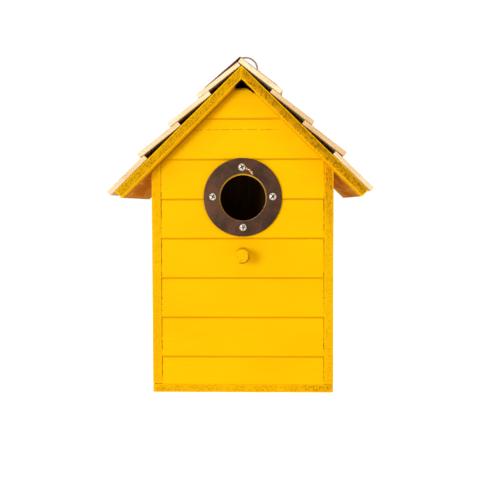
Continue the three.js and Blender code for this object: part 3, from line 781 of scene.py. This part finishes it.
def screw_tree():
    """Pan-head screws with a cross recess, one on each point. Each point's turn attribute
    turns its cross. The head's underside is at the point and the head is along +Z."""
    sizes = ("Head Radius", "Head Height", "Recess Length", "Recess Width", "Recess Depth",
             "Shank Radius", "Shank Length")
    tree, n, given, out = new_geometry_tree("pan_head_screws", {
        "Points": "geometry", **dict.fromkeys(sizes, "float"), "Material": "material"})
    radius, height = given["Head Radius"], given["Head Height"]
    rim = n.times(height, 0.35)
    disc = n.add("GeometryNodeMeshCylinder", {"Vertices": 48, "Side Segments": 3, "Fill Segments": 12,
                                              "Radius": radius, "Depth": rim},
                 fill_type="TRIANGLE_FAN").outputs["Mesh"]
    place = n.add("ShaderNodeSeparateXYZ", {0: n.position()}).outputs
    share = n.math("DIVIDE", n.vector("LENGTH", n.xyz(place["X"], place["Y"])), radius)
    crown = n.math("POWER", n.larger(n.minus(1.0, n.math("POWER", share, 2.6)), 0.0), 0.55)
    on_top = n.math("GREATER_THAN", place["Z"], n.times(rim, 0.45))
    swell = n.times(n.minus(height, rim), crown, on_top)
    head = n.pushed(disc, n.xyz(z=n.plus(swell, n.times(rim, 0.5))))
    size = n.xyz(given["Recess Length"], given["Recess Width"], n.times(given["Recess Depth"], 2.0))
    bars = [n.moved(n.add("GeometryNodeMeshCube", {"Size": size}).outputs["Mesh"], n.xyz(z=height),
                    (0, 0, turn)) for turn in (0, math.pi / 2)]
    cut = n.add("GeometryNodeMeshBoolean", {"Mesh 1": head, "Mesh 2": n.joined(*bars),
                                            "Self Intersection": True},
                operation="DIFFERENCE", solver="EXACT")
    shank = n.add("GeometryNodeMeshCylinder", {"Vertices": 24, "Radius": given["Shank Radius"],
                                               "Depth": given["Shank Length"]}).outputs["Mesh"]
    shank = n.moved(shank, n.xyz(z=n.plus(n.times(given["Shank Length"], -0.5), 0.05 * MM)))
    screw = n.joined(cut.outputs["Mesh"], shank)
    screws = n.laid(given["Points"], screw, n.xyz(z=n.named("turn")))
    n.finish(out, n.real(screws), given["Material"])
    return tree


def shingle_tree():
    """Lays one blank on each point, stretched and turned by the point's attributes, each
    with a stretch of grain of its own and slightly hollow faces."""
    tree, n, given, out = new_geometry_tree("laid_shingles", {
        "Points": "geometry", "Blank": "object", "Hollow": "float", "Hollow Size": "float",
        "Seed": "int", "Material": "material"})
    blank = n.add("GeometryNodeObjectInfo", {"Object": given["Blank"]}).outputs["Geometry"]
    stretch, turn, grain = (n.named(name, "FLOAT_VECTOR") for name in ("stretch", "turn", "grain"))
    laid = n.laid(given["Points"], blank, turn, stretch)
    random = n.add("FunctionNodeRandomValue", {"Seed": given["Seed"]}, data_type="FLOAT")
    chance = next(socket for socket in random.outputs if socket.enabled)
    real = n.real(n.stored(laid, "chance", chance, "FLOAT", "INSTANCE"))
    own_grain = n.vector("ADD", grain, n.scaled((1.7, 0.9, 0.6), n.named("chance")))
    real = n.stored(real, "grain", own_grain, "FLOAT_VECTOR", "POINT")
    wave = n.noise(n.scaled(n.position(), n.math("DIVIDE", 1.0, given["Hollow Size"])), 1.0, 2.0)
    push = n.times(wave, given["Hollow"], -2.0)
    normal = n.add("GeometryNodeInputNormal").outputs[0]
    n.finish(out, n.pushed(real, n.scaled(normal, push)), given["Material"])
    return tree


def wire_tree():
    """A round wire along a curve, slightly kinked by hand."""
    tree, n, given, out = new_geometry_tree("drawn_wire", {
        "Curve": "geometry", "Radius": "float", "Step": "float", "Kink": "float",
        "Material": "material"})
    even = n.add("GeometryNodeResampleCurve", {"Curve": given["Curve"], "Length": given["Step"]},
                 mode="LENGTH").outputs[0]
    wander = n.add("ShaderNodeTexNoise", {"Vector": n.position(), "Scale": 160.0, "Detail": 1.0})
    centred = n.vector("SUBTRACT", wander.outputs["Color"], (0.5, 0.5, 0.5))
    kinked = n.pushed(even, n.scaled(centred, given["Kink"]))
    section = n.add("GeometryNodeCurvePrimitiveCircle", {"Resolution": 20, "Radius": given["Radius"]},
                    mode="RADIUS").outputs["Curve"]
    wire = n.add("GeometryNodeCurveToMesh", {"Curve": kinked, "Profile Curve": section,
                                             "Fill Caps": True}).outputs[0]
    n.finish(out, wire, given["Material"])
    return tree


def add_tree(piece, tree, values):
    """Puts a geometry tree on a piece and sets its named inputs."""
    modifier = piece.modifiers.new("made", "NODES")
    modifier.node_group = tree
    sockets = {item.name: item.identifier for item in tree.interface.items_tree
               if item.item_type == "SOCKET" and item.in_out == "INPUT"}
    for name, value in values.items():
        modifier[sockets[name]] = value


SCREWS = screw_tree()
SHINGLES = shingle_tree()
WIRE = wire_tree()


# ---- floor, walls, boards


def make_floor():
    corners = corners_of("floor_board", X_AXIS, Y_AXIS, Z_AXIS)

    def soak(flat, half, points):
        """Its right end is the most worn."""
        return 1 + 0.9 * np.clip((points[:, 0] - 30 * MM) / (30 * MM), 0, 1)

    mesh = timber_mesh("floor", corners, (56, 40, 5), 3, radius=0.9 * MM, hollow=0.10 * MM, soak=soak)
    floor = link("floor", mesh, PAINT_FLOOR)
    stand_for(floor, "house", "painted_wood", "floor_board")


# how far the side walls pass their solids' ends, to close the joints
WALL_LIFT = 0.5 * MM
WALL_SINK = 0.15 * MM


def make_side_wall(side, sign):
    node = f"{side}_wall"
    corners = corners_of(node, Z_AXIS, Y_AXIS, 4 * sign * X_AXIS)
    for signs in corners:
        reach = -WALL_SINK if signs[0] < 0 else WALL_LIFT
        corners[signs] = corners[signs] + reach * np.array(Z_AXIS)

    def soak(flat, half, points):
        """Paint is thinnest on the right wall's front edge, up under the roof."""
        near_roof = np.clip((points[:, 2] - 105 * MM) / (40 * MM), 0, 1)
        return 1 + (2.4 * near_roof if sign > 0 else 0)

    mesh = timber_mesh(node, corners, (70, 48, 5), 5 + sign, hollow=0.07 * MM, bare=shaded_inner_face,
                       soak=soak)
    wall = link(f"wall_{side}", mesh, PAINT_WALL)
    stand_for(wall, "house", "painted_wood", node)


HOLE_RADIUS = 15.75 * MM
HOLE_CENTRE = Vector((RING_MIDDLE.x + 0.12 * MM, FRONT_Y, RING_MIDDLE.z - 0.4 * MM))
HOLE_PAINT_DEPTH = 3 * MM
LOWER_EDGE_BITE = 0.25 * MM  # into the side walls
UPPER_EDGE_GAP = 0.09 * MM  # to the side walls
ROOF_GAP_LEFT = 0.12 * MM
ROOF_BITE_RIGHT = 0.30 * MM
LAP_STEP = 1.2 * MM
LAP_TUCK = 2.2 * MM
LAP_DROPS = {1: 2.2 * MM, 6: 1.45 * MM, 7: 1.45 * MM}
USUAL_DROP = 1.1 * MM
GABLE_BASE = 5
SLIT_LENGTH = 7 * MM
SLIT_WIDTH = 1.0 * MM


def roof_underside():
    """Where the panels' lower faces meet."""
    inner = max((p for p in node_points("roof_panel_right") if p[0] < 1 * MM), key=lambda p: -p[2])
    return Vector((0, 0, inner[2] + inner[0] * math.tan(ROOF_SLOPE)))


UNDER_RIDGE = roof_underside()


def saw_off(piece, place, outward):
    """Cuts a piece along a plane and removes what lies outward of it."""
    with edited(piece.data) as bm:
        everything = bm.verts[:] + bm.edges[:] + bm.faces[:]
        cut = bmesh.ops.bisect_plane(bm, geom=everything, plane_co=place, plane_no=outward,
                                     clear_outer=True)
        rim = [item for item in cut["geom_cut"] if isinstance(item, bmesh.types.BMEdge)]
        bmesh.ops.holes_fill(bm, edges=rim, sides=0)


def cut_to_roof(piece, overlap_left, overlap_right):
    """Cuts a piece off along the undersides of both roof panels."""
    for sign, overlap in ((-1, overlap_left), (1, overlap_right)):
        saw_off(piece, UNDER_RIDGE + overlap * off_slope(sign), off_slope(sign))


def paint_joint_shade(mesh, reach, strength):
    """Painted shade where the left roof panel meets the front boards, fading with distance from that line.
    """
    points = points_of(mesh)
    below = -(points - np.array(UNDER_RIDGE)) @ np.array(off_slope(-1))
    away = np.hypot(np.maximum(below, 0), points[:, 1] - FRONT_Y)
    near_roof = below > -0.3 * MM
    set_attribute(mesh, "joint_shade", np.where(near_roof, strength * np.clip(1 - away / reach, 0, 1), 0))


def cut_slit(piece, top):
    """The last board was sawn short of the roof beside the vent, on its right."""
    down = along_slope(1)
    corner = UNDER_RIDGE + down * ((UNDER_RIDGE.z - top) / math.sin(ROOF_SLOPE))
    end = corner + down * SLIT_LENGTH
    way = end - (corner - off_slope(1) * SLIT_WIDTH)
    saw_off(piece, end, Vector((-way.z, 0, way.x)))


def make_front_board(number):
    """A lapped board: its lower edge is full and meets the walls, and its upper edge lies
    back, tucked behind the next board, with a thin gap to the walls."""
    node = f"front_board_{number}"
    low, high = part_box(node)
    is_top = number == BOARD_COUNT
    bottom = low.z - LAP_DROPS.get(number, USUAL_DROP)
    corners = {}
    for signs in corner_signs():
        along, across, outward = signs
        reach = BOARD_REACH + (LOWER_EDGE_BITE if across < 0 else -UPPER_EDGE_GAP)
        height = bottom if across < 0 else high.z + (0 if is_top else LAP_TUCK)
        front = FRONT_Y if across < 0 or is_top else FRONT_Y + LAP_STEP
        corners[signs] = np.array([along * reach, front if outward > 0 else high.y, height])
    mesh = timber_mesh(node, corners, (72, 18, 5), 20 + number, radius=2.2 * MM, hollow=0.05 * MM,
                       bare=shaded_inner_face, end_share=0.15)
    board = link(f"siding_{number}", mesh, PAINT_BOARD)
    if number >= GABLE_BASE:
        cut_to_roof(board, -ROOF_GAP_LEFT, ROOF_BITE_RIGHT)
        paint_joint_shade(board.data, 3.5 * MM, 0.35)
    if is_top:
        cut_slit(board, high.z)
    if low.z < HOLE_CENTRE.z + HOLE_RADIUS and high.z > HOLE_CENTRE.z - HOLE_RADIUS:
        cut_round_hole(board, HOLE_CENTRE, HOLE_RADIUS, 30 * MM)
        shade_hole_wall(board.data)
    smooth(board.data)
    stand_for(board, "house", "painted_wood", node)


def shade_hole_wall(mesh):
    """The entrance's wall is painted only at its front; behind that it gets near-black painted shade."""
    points = points_of(mesh)
    bare = np.zeros(len(points), np.float32)
    mesh.attributes["bare"].data.foreach_get("value", bare)
    spread = np.hypot(points[:, 0] - HOLE_CENTRE.x, points[:, 2] - HOLE_CENTRE.z)
    on_wall = (spread < HOLE_RADIUS + 0.01 * MM) & (points[:, 1] > FRONT_Y + HOLE_PAINT_DEPTH)
    set_attribute(mesh, "bare", np.where(on_wall, 6.0, bare))


def make_back_piece(name, node, radius, material, seed, body, bare=0.0):
    """A painted piece of the back. The value for the side that looks into the house makes it unpainted
    timber, with near-black painted shade above 1.2.
    """
    piece = refined(name, node, radius, material, Z_AXIS, X_AXIS, seed)
    inside = points_of(piece.data)[:, 1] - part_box(node)[0].y < 0.2 * MM
    set_attribute(piece.data, "bare", np.where(inside, bare, 0.0))
    stand_for(piece, body, "painted_wood", node)


def make_back():
    # inside, the back panel is given near-black painted shade; the door is only unpainted timber
    make_back_piece("back_panel", "back_wall", 0.5 * MM, PAINT_WALL, 9, "house", 1.65)
    make_back_piece("clean_out_door", "rear_door", 0.7 * MM, PAINT_DOOR, 12, "door", 1.2)
    corners = corners_of("door_stop_strip", Z_AXIS, X_AXIS, -1 * Y_AXIS)
    strip = link("stop_strip", timber_mesh("stop_strip", corners, (30, 5, 3), 14), TIMBER)
    stand_for(strip, "house", "raw_wood", "door_stop_strip")
    make_back_piece("catch", "turn_button", 0.7 * MM, PAINT_SMALL, 17, "button")


# ---- ring and its screws


def make_ring():
    outer = (RING_BOX[1].x - RING_BOX[0].x) / 2
    inner = 16 * MM
    front = -RING_BOX[0].y
    back = -RING_BOX[1].y
    soft = 0.28 * MM
    profile = []
    for index, (radius, reach) in enumerate(((inner, front), (outer, front), (outer, back), (inner, back))):
        arc = soft_corner(radius, reach, 1 if radius == inner else -1, -1 if reach == front else 1, soft, 3)
        profile += arc[::-1] if index % 2 else arc
        if index == 0:
            profile += [(r, front) for r in np.linspace(inner + 2 * soft, outer - 2 * soft, 9)]
    ring = turned("entrance_plate", profile, 160, BRONZE_RING)
    mesh = ring.data
    points = points_of(mesh)
    distance = np.linalg.norm(points[:, [0, 2]], axis=1)
    rim = np.minimum(distance - inner, outer - distance)
    on_front = -points[:, 1] > middle(front, back)
    points[:, 1] += 0.08 * MM * (1 + bumps(points, 9 * MM)) * on_front
    move_points(mesh, points + np.array([RING_MIDDLE.x, 0, RING_MIDDLE.z]))
    wear = np.where(distance < middle(inner, outer), 1.0, 0.55)
    set_attribute(mesh, "edge", np.where(rim < soft * 1.1, wear, 0.0))
    smooth(mesh, 50)
    stand_for(ring, "house", "aged_bronze", "entrance_ring")


PAN_HEAD = {"Head Radius": 2.65 * MM, "Head Height": 1.7 * MM, "Recess Length": 3.3 * MM,
            "Recess Width": 0.95 * MM, "Recess Depth": 1.25 * MM, "Shank Radius": 0.9 * MM,
            "Shank Length": 5 * MM}
LONG_PAN = {**PAN_HEAD, "Shank Length": 8.2 * MM}
SMALL_HEAD = {**PAN_HEAD, "Head Radius": 1.5 * MM, "Head Height": 0.9 * MM,
              "Recess Length": 1.8 * MM, "Recess Width": 0.45 * MM, "Recess Depth": 0.55 * MM}


def make_screws(name, turns, head, body, facing):
    """Screws that stand for CAD screws, each with its cross at its own turn in degrees.
    Facing is -1 for heads towards -Y, +1 for +Y."""
    to_world = Matrix.Rotation(-facing * math.pi / 2, 3, "X")
    places = []
    for node in turns:
        low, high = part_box(node)
        tip = high.y if facing > 0 else low.y
        seat = Vector((middle(low.x, high.x), tip - facing * head["Head Height"], middle(low.z, high.z)))
        places.append(to_world.inverted() @ seat)
    mesh = bpy.data.meshes.new(name)
    mesh.from_pydata(places, [], [])
    set_attribute(mesh, "turn", [math.radians(turn) for turn in turns.values()])
    screws = link(name, mesh, ZINC)
    add_tree(screws, SCREWS, {**head, "Material": ZINC})
    mesh = settle(screws)
    points = points_of(mesh)
    # painted shade on the floor of each screw's cross recess
    recess_shade = np.zeros(len(points))
    for place in places:
        spread = np.linalg.norm(points[:, :2] - np.array(place)[:2], axis=1)
        above = points[:, 2] - place.z - head["Head Height"] + head["Recess Depth"]
        recess_shade[(np.abs(above) < 0.02 * MM) & (spread < head["Recess Length"] * 0.6)] = 1.0
    set_attribute(mesh, "recess_shade", recess_shade)
    mesh.transform(to_world.to_4x4())
    smooth(mesh, 34)
    stand_for(screws, body, "zinc_steel", *turns)


def make_all_screws():
    ring_turns = {"top": 25, "right": 40, "bottom": 10, "left": 62}
    make_screws("plate_screws", {f"ring_screw_{place}": turn for place, turn in ring_turns.items()},
                PAN_HEAD, "house", -1)
    for leaf, body, lower, upper in (("wall", "house", 12, 51), ("door", "door", 33, 74)):
        turns = {f"hinge_screw_{leaf}_lower": lower, f"hinge_screw_{leaf}_upper": upper}
        make_screws(f"leaf_screws_{leaf}", turns, SMALL_HEAD, body, 1)
    make_screws("catch_screw", {"turn_button_screw": 34}, LONG_PAN, "house", 1)


def make_hinge():
    for name, node, body in (("hinge_wall", "hinge_leaf_wall", "house"),
                             ("hinge_door", "hinge_leaf_door", "door"),
                             ("pivot_pin", "hinge_pin", "house")):
        piece = refined(name, node, 0.12 * MM, BRASS, segments=2)
        stand_for(piece, body, "brass_hinge", node)


# ---- perch


def make_perch():
    low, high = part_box("perch")
    box_radius = (high.x - low.x) / 2
    radius = box_radius * 0.985
    tip = -low.y
    boards = -FRONT_Y
    soft = 0.9 * MM
    start = boards + 0.7 * MM
    # a thicker ring of paint lies where the dowel enters the boards
    profile = [(0, -high.y), (box_radius * 0.97, -high.y), (box_radius * 0.97, boards - 0.5 * MM),
               (box_radius + 0.25 * MM, boards - 0.4 * MM)]
    profile += [(radius, start + step * (tip - soft - start) / 7) for step in range(7)]
    profile += soft_corner(radius, tip, -1, -1, soft, 6)
    profile += [(box_radius * share, tip) for share in (0.55, 0.35, 0.18, 0.0)]
    perch = turned("perch_dowel", profile, 56, PAINT_SMALL)
    mesh = perch.data
    points = points_of(mesh)
    spread = np.linalg.norm(points[:, [0, 2]], axis=1)
    dents = 1 + bumps(points, 2.2 * MM)
    points[:, 1] += 0.10 * MM * dents * (points[:, 1] < low.y + 0.6 * MM)
    points[:, [0, 2]] *= 1 - 0.010 * dents[:, None]
    # painted shade: the end's rim is darker on its lower right, the side turned away from the light
    shaded = (points[:, 0] - points[:, 2]) / box_radius
    points += np.array([middle(low.x, high.x), 0, middle(low.z, high.z)])
    move_points(mesh, points)
    end = points[:, 1] < low.y + 0.9 * MM
    rub_and_shade = np.where(end & (spread > box_radius - soft), np.clip(1.6 * shaded, 0, 1), 0.0)
    set_attribute(mesh, "grain", points[:, [1, 0, 2]])
    set_attribute(mesh, "sawn", end)
    set_attribute(mesh, "rim", np.clip(box_radius - spread, 0, 1))
    set_attribute(mesh, "edge", rub_and_shade)
    set_attribute(mesh, "bare", np.zeros(len(points)))
    smooth(mesh, 60)
    stand_for(perch, "house", "painted_wood", "perch")


# ---- roof


RIDGE_BITE = 0.2 * MM  # of each panel past the middle, which closes the ridge


def make_roof_panel(side, sign):
    node = f"roof_panel_{side}"
    corners = corners_of(node, Y_AXIS, along_slope(sign), off_slope(sign))
    for signs in corners:
        if signs[1] < 0:
            corners[signs] = corners[signs] - sign * RIDGE_BITE * np.array(X_AXIS)
    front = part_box(node)[0].y
    band_width = 15 * MM if sign < 0 else 19 * MM
    ridge_shade_reach, ridge_shade_fade = (8 * MM, 4 * MM) if sign < 0 else (10.5 * MM, 2.5 * MM)

    def bare(flat, half, points):
        """Painted on the thin faces and a band behind the front edge, back to the boards,
        unpainted beyond. Under the ridge the underside is unpainted with near-black painted shade,
        and so is the upper face under the shingles, behind a thin painted strip at the front."""
        from_front = points[:, 1] - front
        sideways = np.abs(points[:, 0])
        over_boards = sideways < WALL_REACH + 1 * MM
        band = np.where(over_boards, band_width, 13 * MM)
        fade = np.where(over_boards, 7 * MM, 16 * MM)
        unpainted = np.clip((from_front - band) / fade + 0.5, 0, 1)
        ridge = np.clip((ridge_shade_reach - sideways) / ridge_shade_fade, 0, 1)
        ridge = ridge * np.clip((from_front - 1 * MM) / (3 * MM), 0, 1)
        below = np.maximum(unpainted, 2 * ridge)
        above = 2 * np.clip(from_front / (4 * MM) - 0.3, 0, 1)
        broad = np.abs(flat[:, 2]) > half[2] - 1e-9
        return np.where(broad, np.where(flat[:, 2] < 0, below, above), 0.0)

    def soak(flat, half, points):
        """The right panel drank more paint, most of all along its outer side."""
        return np.full(len(flat), 0.85) if sign < 0 else 1.2 + 0.45 * flat[:, 2] / half[2]

    mesh = timber_mesh(node, corners, (90, 70, 6), 31 + sign, hollow=0.10 * MM, bare=bare, soak=soak)
    if sign < 0:
        paint_joint_shade(mesh, 8 * MM, 0.9)
    panel = link(f"roof_board_{side}", mesh, PAINT_ROOF)
    stand_for(panel, "house", "painted_wood", node)


BLANK_SIZE = (35.3 * MM, 43 * MM, 3 * MM)
SHINGLE_SEEDS = {"left": 7, "right": 12}
# how brown the front shingle of each course is, from the ridge down
FRONT_SHADES = {"left": (0.0, 0.12, 0.30, 0.42), "right": (0.0, 0.60, 0.85, 0.30)}


def shingle_blank():
    corners = {signs: np.array(signs) * np.array(BLANK_SIZE) / 2 for signs in corner_signs()}
    mesh = timber_mesh("shingle_blank", corners, (26, 26, 4), 41, radius=0.35 * MM, hollow=0.02 * MM)
    return link("shingle_blank", mesh, SHINGLE)


def make_shingles(side, sign, blank):
    """The twelve shingles of one side as one mesh."""
    places = []
    shades = []
    stretches = []
    turns = []
    nodes = []
    seed = SHINGLE_SEEDS[side]
    rng = np.random.default_rng(seed)
    for course, place in itertools.product(COURSES, ROW_PLACES):
        node = f"shingle_{side}_{course}_{place}"
        points = node_points(node)
        upper = points[np.argmin(points[:, 0] * sign)]
        lower = points[np.argmin(points[:, 2])]
        run = abs(lower[0] - upper[0])
        drop = upper[2] - lower[2]
        slant = math.atan2(drop, run)
        low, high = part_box(node)
        thickness = (high.x - low.x - run) / math.sin(slant) + 0.08 * MM
        size = np.array([math.hypot(run, drop), high.y - low.y, thickness])
        places.append(middle(low, high))
        stretches.append(size / np.array(BLANK_SIZE))
        turns.append((rng.uniform(-0.004, 0.004), slant, math.pi if sign < 0 else 0.0))
        shades.append(FRONT_SHADES[side][course - 1] if place == "front" else rng.uniform(0.0, 0.9))
        nodes.append(node)
    mesh = bpy.data.meshes.new(f"shingles_{side}")
    mesh.from_pydata(places, [], [])
    set_attribute(mesh, "stretch", stretches)
    set_attribute(mesh, "turn", turns)
    set_attribute(mesh, "shade", shades)
    shingles = link(f"shingles_{side}", mesh, SHINGLE)
    add_tree(shingles, SHINGLES, {"Blank": blank, "Hollow": 0.10 * MM, "Hollow Size": 9 * MM,
                                  "Seed": seed, "Material": SHINGLE})
    smooth(settle(shingles))
    stand_for(shingles, "house", "shingle_wood", *nodes)


CAP_SHEET = 0.55 * MM
CAP_BEND = 0.9 * MM
CAP_SHADE_FILL = 0.95 * MM


def make_cap():
    """The folded sheet: its section follows the two legs round a tight fold, and its faces
    are slightly dented."""
    points = node_points("ridge_cap")
    low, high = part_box("ridge_cap")
    picks = (np.argmax(points[:, 2]), np.argmin(points[:, 0] + 0.2 * points[:, 2]),
             np.argmax(points[:, 0] - 0.2 * points[:, 2]))
    crown, left, right = (Vector((points[pick][0], 0, points[pick][2])) for pick in picks)
    entry = crown + (left - crown).normalized() * CAP_BEND
    leave = crown + (right - crown).normalized() * CAP_BEND
    per_leg = 16
    shares = [step / per_leg for step in range(per_leg + 1)]
    outer = [left.lerp(entry, share) for share in shares]
    for share in [step / 6 for step in range(1, 6)]:
        outer.append(entry.lerp(crown, share).lerp(crown.lerp(leave, share), share))
    outer += [leave.lerp(right, share) for share in shares]

    # the inner side runs back; the left leg thickens towards the fold, a dark fill standing in for the
    # shade in the gap under it
    shade_fill = np.zeros(len(outer))
    shade_fill[:per_leg - 1] = np.linspace(0, 1, per_leg - 1) ** 1.4
    section = list(outer)
    for index in reversed(range(len(outer))):
        way = (outer[min(index + 1, len(outer) - 1)] - outer[max(index - 1, 0)]).normalized()
        thickness = CAP_SHEET + CAP_SHADE_FILL * float(shade_fill[index])
        section.append(outer[index] - thickness * Vector((-way.z, 0, way.x)))

    stations = np.linspace(low.y, high.y, 64)
    count = len(section)
    points = np.array([(point.x, y, point.z) for y in stations for point in section])
    dents = 0.10 * MM * (1 + bumps(points, 8 * MM)) + 0.03 * MM * (1 + bumps(points, 2.5 * MM))
    faces = [(start + i, start + count + i, start + count + (i + 1) % count, start + (i + 1) % count)
             for start in range(0, len(points) - count, count) for i in range(count)]
    last = len(points) - count
    for i in range(len(outer) - 1):
        far = count - 1 - i
        faces.append((i, i + 1, far - 1, far))
        faces.append((last + far, last + far - 1, last + i + 1, last + i))
    mesh = bpy.data.meshes.new("ridge_sheet")
    mesh.from_pydata((points - dents[:, None] * np.array(Z_AXIS)).tolist(), [], faces)
    with edited(mesh) as bm:
        bmesh.ops.recalc_face_normals(bm, faces=bm.faces)

    # only the right side's rims are made bright copper, a painted highlight on the lit side; the left
    # side's rims stay dark
    place, station = np.arange(len(points)) % count, np.arange(len(points)) // count
    rim = np.isin(place, (0, len(outer) - 1, len(outer), count - 1))
    rim |= np.isin(station, (0, len(stations) - 1))
    set_attribute(mesh, "edge", rim & (points[:, 0] > crown.x + 1 * MM))
    smooth(mesh, 45)
    cap = link("ridge_sheet", mesh, BRONZE_CAP)
    stand_for(cap, "house", "aged_bronze", "ridge_cap")


def make_loop():
    low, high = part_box("hanging_loop")
    wire = (high.y - low.y) / 2
    radius = (high.x - low.x) / 2 - wire
    centre = Vector((middle(low.x, high.x), middle(low.y, high.y), high.z - wire - radius))
    turns = [math.pi * (1 - step / 24) for step in range(25)]
    route = [centre + radius * Vector((math.cos(turn), 0, math.sin(turn))) for turn in turns]
    feet = [Vector((centre.x + sign * radius, centre.y, low.z)) for sign in (-1, 1)]
    route = [feet[0], *route, feet[1]]
    curve = bpy.data.curves.new("hanging_wire", "CURVE")
    curve.dimensions = "3D"
    spline = curve.splines.new("POLY")
    spline.points.add(len(route) - 1)
    for point, place in zip(spline.points, route):
        point.co = (*place, 1)
    source = link("hanging_wire", curve)
    add_tree(source, WIRE, {"Radius": wire * 0.97, "Step": 0.6 * MM, "Kink": 0.25 * MM,
                            "Material": COPPER})
    mesh = made_by_modifiers(source)
    bpy.data.objects.remove(source)
    bpy.data.curves.remove(curve)
    smooth(mesh, 50)
    loop = link("hanging_wire", mesh)
    stand_for(loop, "house", "copper_wire", "hanging_loop")


# ---- stage and light


def make_stage():
    size = 4.0
    mesh = bpy.data.meshes.new("studio_floor")
    mesh.from_pydata([(-size, -size, 0), (size, -size, 0), (size, size, 0), (-size, size, 0)],
                     [], [(0, 1, 2, 3)])
    material, n, shader = new_material("studio_floor")
    n.feed(shader, "Base Color", colour(0.93, 0.93, 0.93))
    n.feed(shader, "Roughness", 0.9)
    n.feed(shader, "Emission Color", colour(1, 1, 1))
    n.feed(shader, "Emission Strength", n.blend(n.seen_by_camera(), 0.25, 0.9))
    stage = link("studio_floor", mesh, material)
    stage.location.z = -0.3 * MM


AIM = Vector((0, 0, 0.12))


def area_light(name, place, size, energy):
    data = bpy.data.lights.new(name, "AREA")
    data.shape = "RECTANGLE"
    data.size, data.size_y = size
    data.energy = energy
    light = bpy.data.objects.new(name, data)
    bpy.context.scene.collection.objects.link(light)
    light.location = place
    light.rotation_euler = (AIM - light.location).to_track_quat("-Z", "Y").to_euler()


def make_lights():
    world = bpy.data.worlds.new("studio")
    bpy.context.scene.world = world
    world.use_nodes = True
    tree = world.node_tree
    tree.nodes.clear()
    n = Nodes(tree)
    strength = n.blend(n.seen_by_camera(), 0.34, 1.05)
    back = n.add("ShaderNodeBackground", {"Color": colour(1, 1, 1), "Strength": strength})
    n.feed(n.add("ShaderNodeOutputWorld"), "Surface", back.outputs[0])
    area_light("key", (-0.58, -1.54, 0.26), (0.45, 0.45), 11.5)
    area_light("top", (0.05, -1.05, 1.55), (1.4, 0.8), 4.5)
    area_light("fill", (1.25, -1.25, 0.35), (0.9, 0.9), 1.8)
    scene = bpy.context.scene
    scene.view_settings.view_transform = "Standard"
    scene.view_settings.look = "None"


# ---- build

place_camera()
make_floor()
for side_name, side_sign in SIDES.items():
    make_side_wall(side_name, side_sign)
for board_number in range(1, BOARD_COUNT + 1):
    make_front_board(board_number)
make_back()
make_ring()
make_all_screws()
make_hinge()
make_perch()
for side_name, side_sign in SIDES.items():
    make_roof_panel(side_name, side_sign)
template = shingle_blank()
for side_name, side_sign in SIDES.items():
    make_shingles(side_name, side_sign, template)
bpy.data.objects.remove(template)
make_cap()
make_loop()
make_stage()
make_lights()
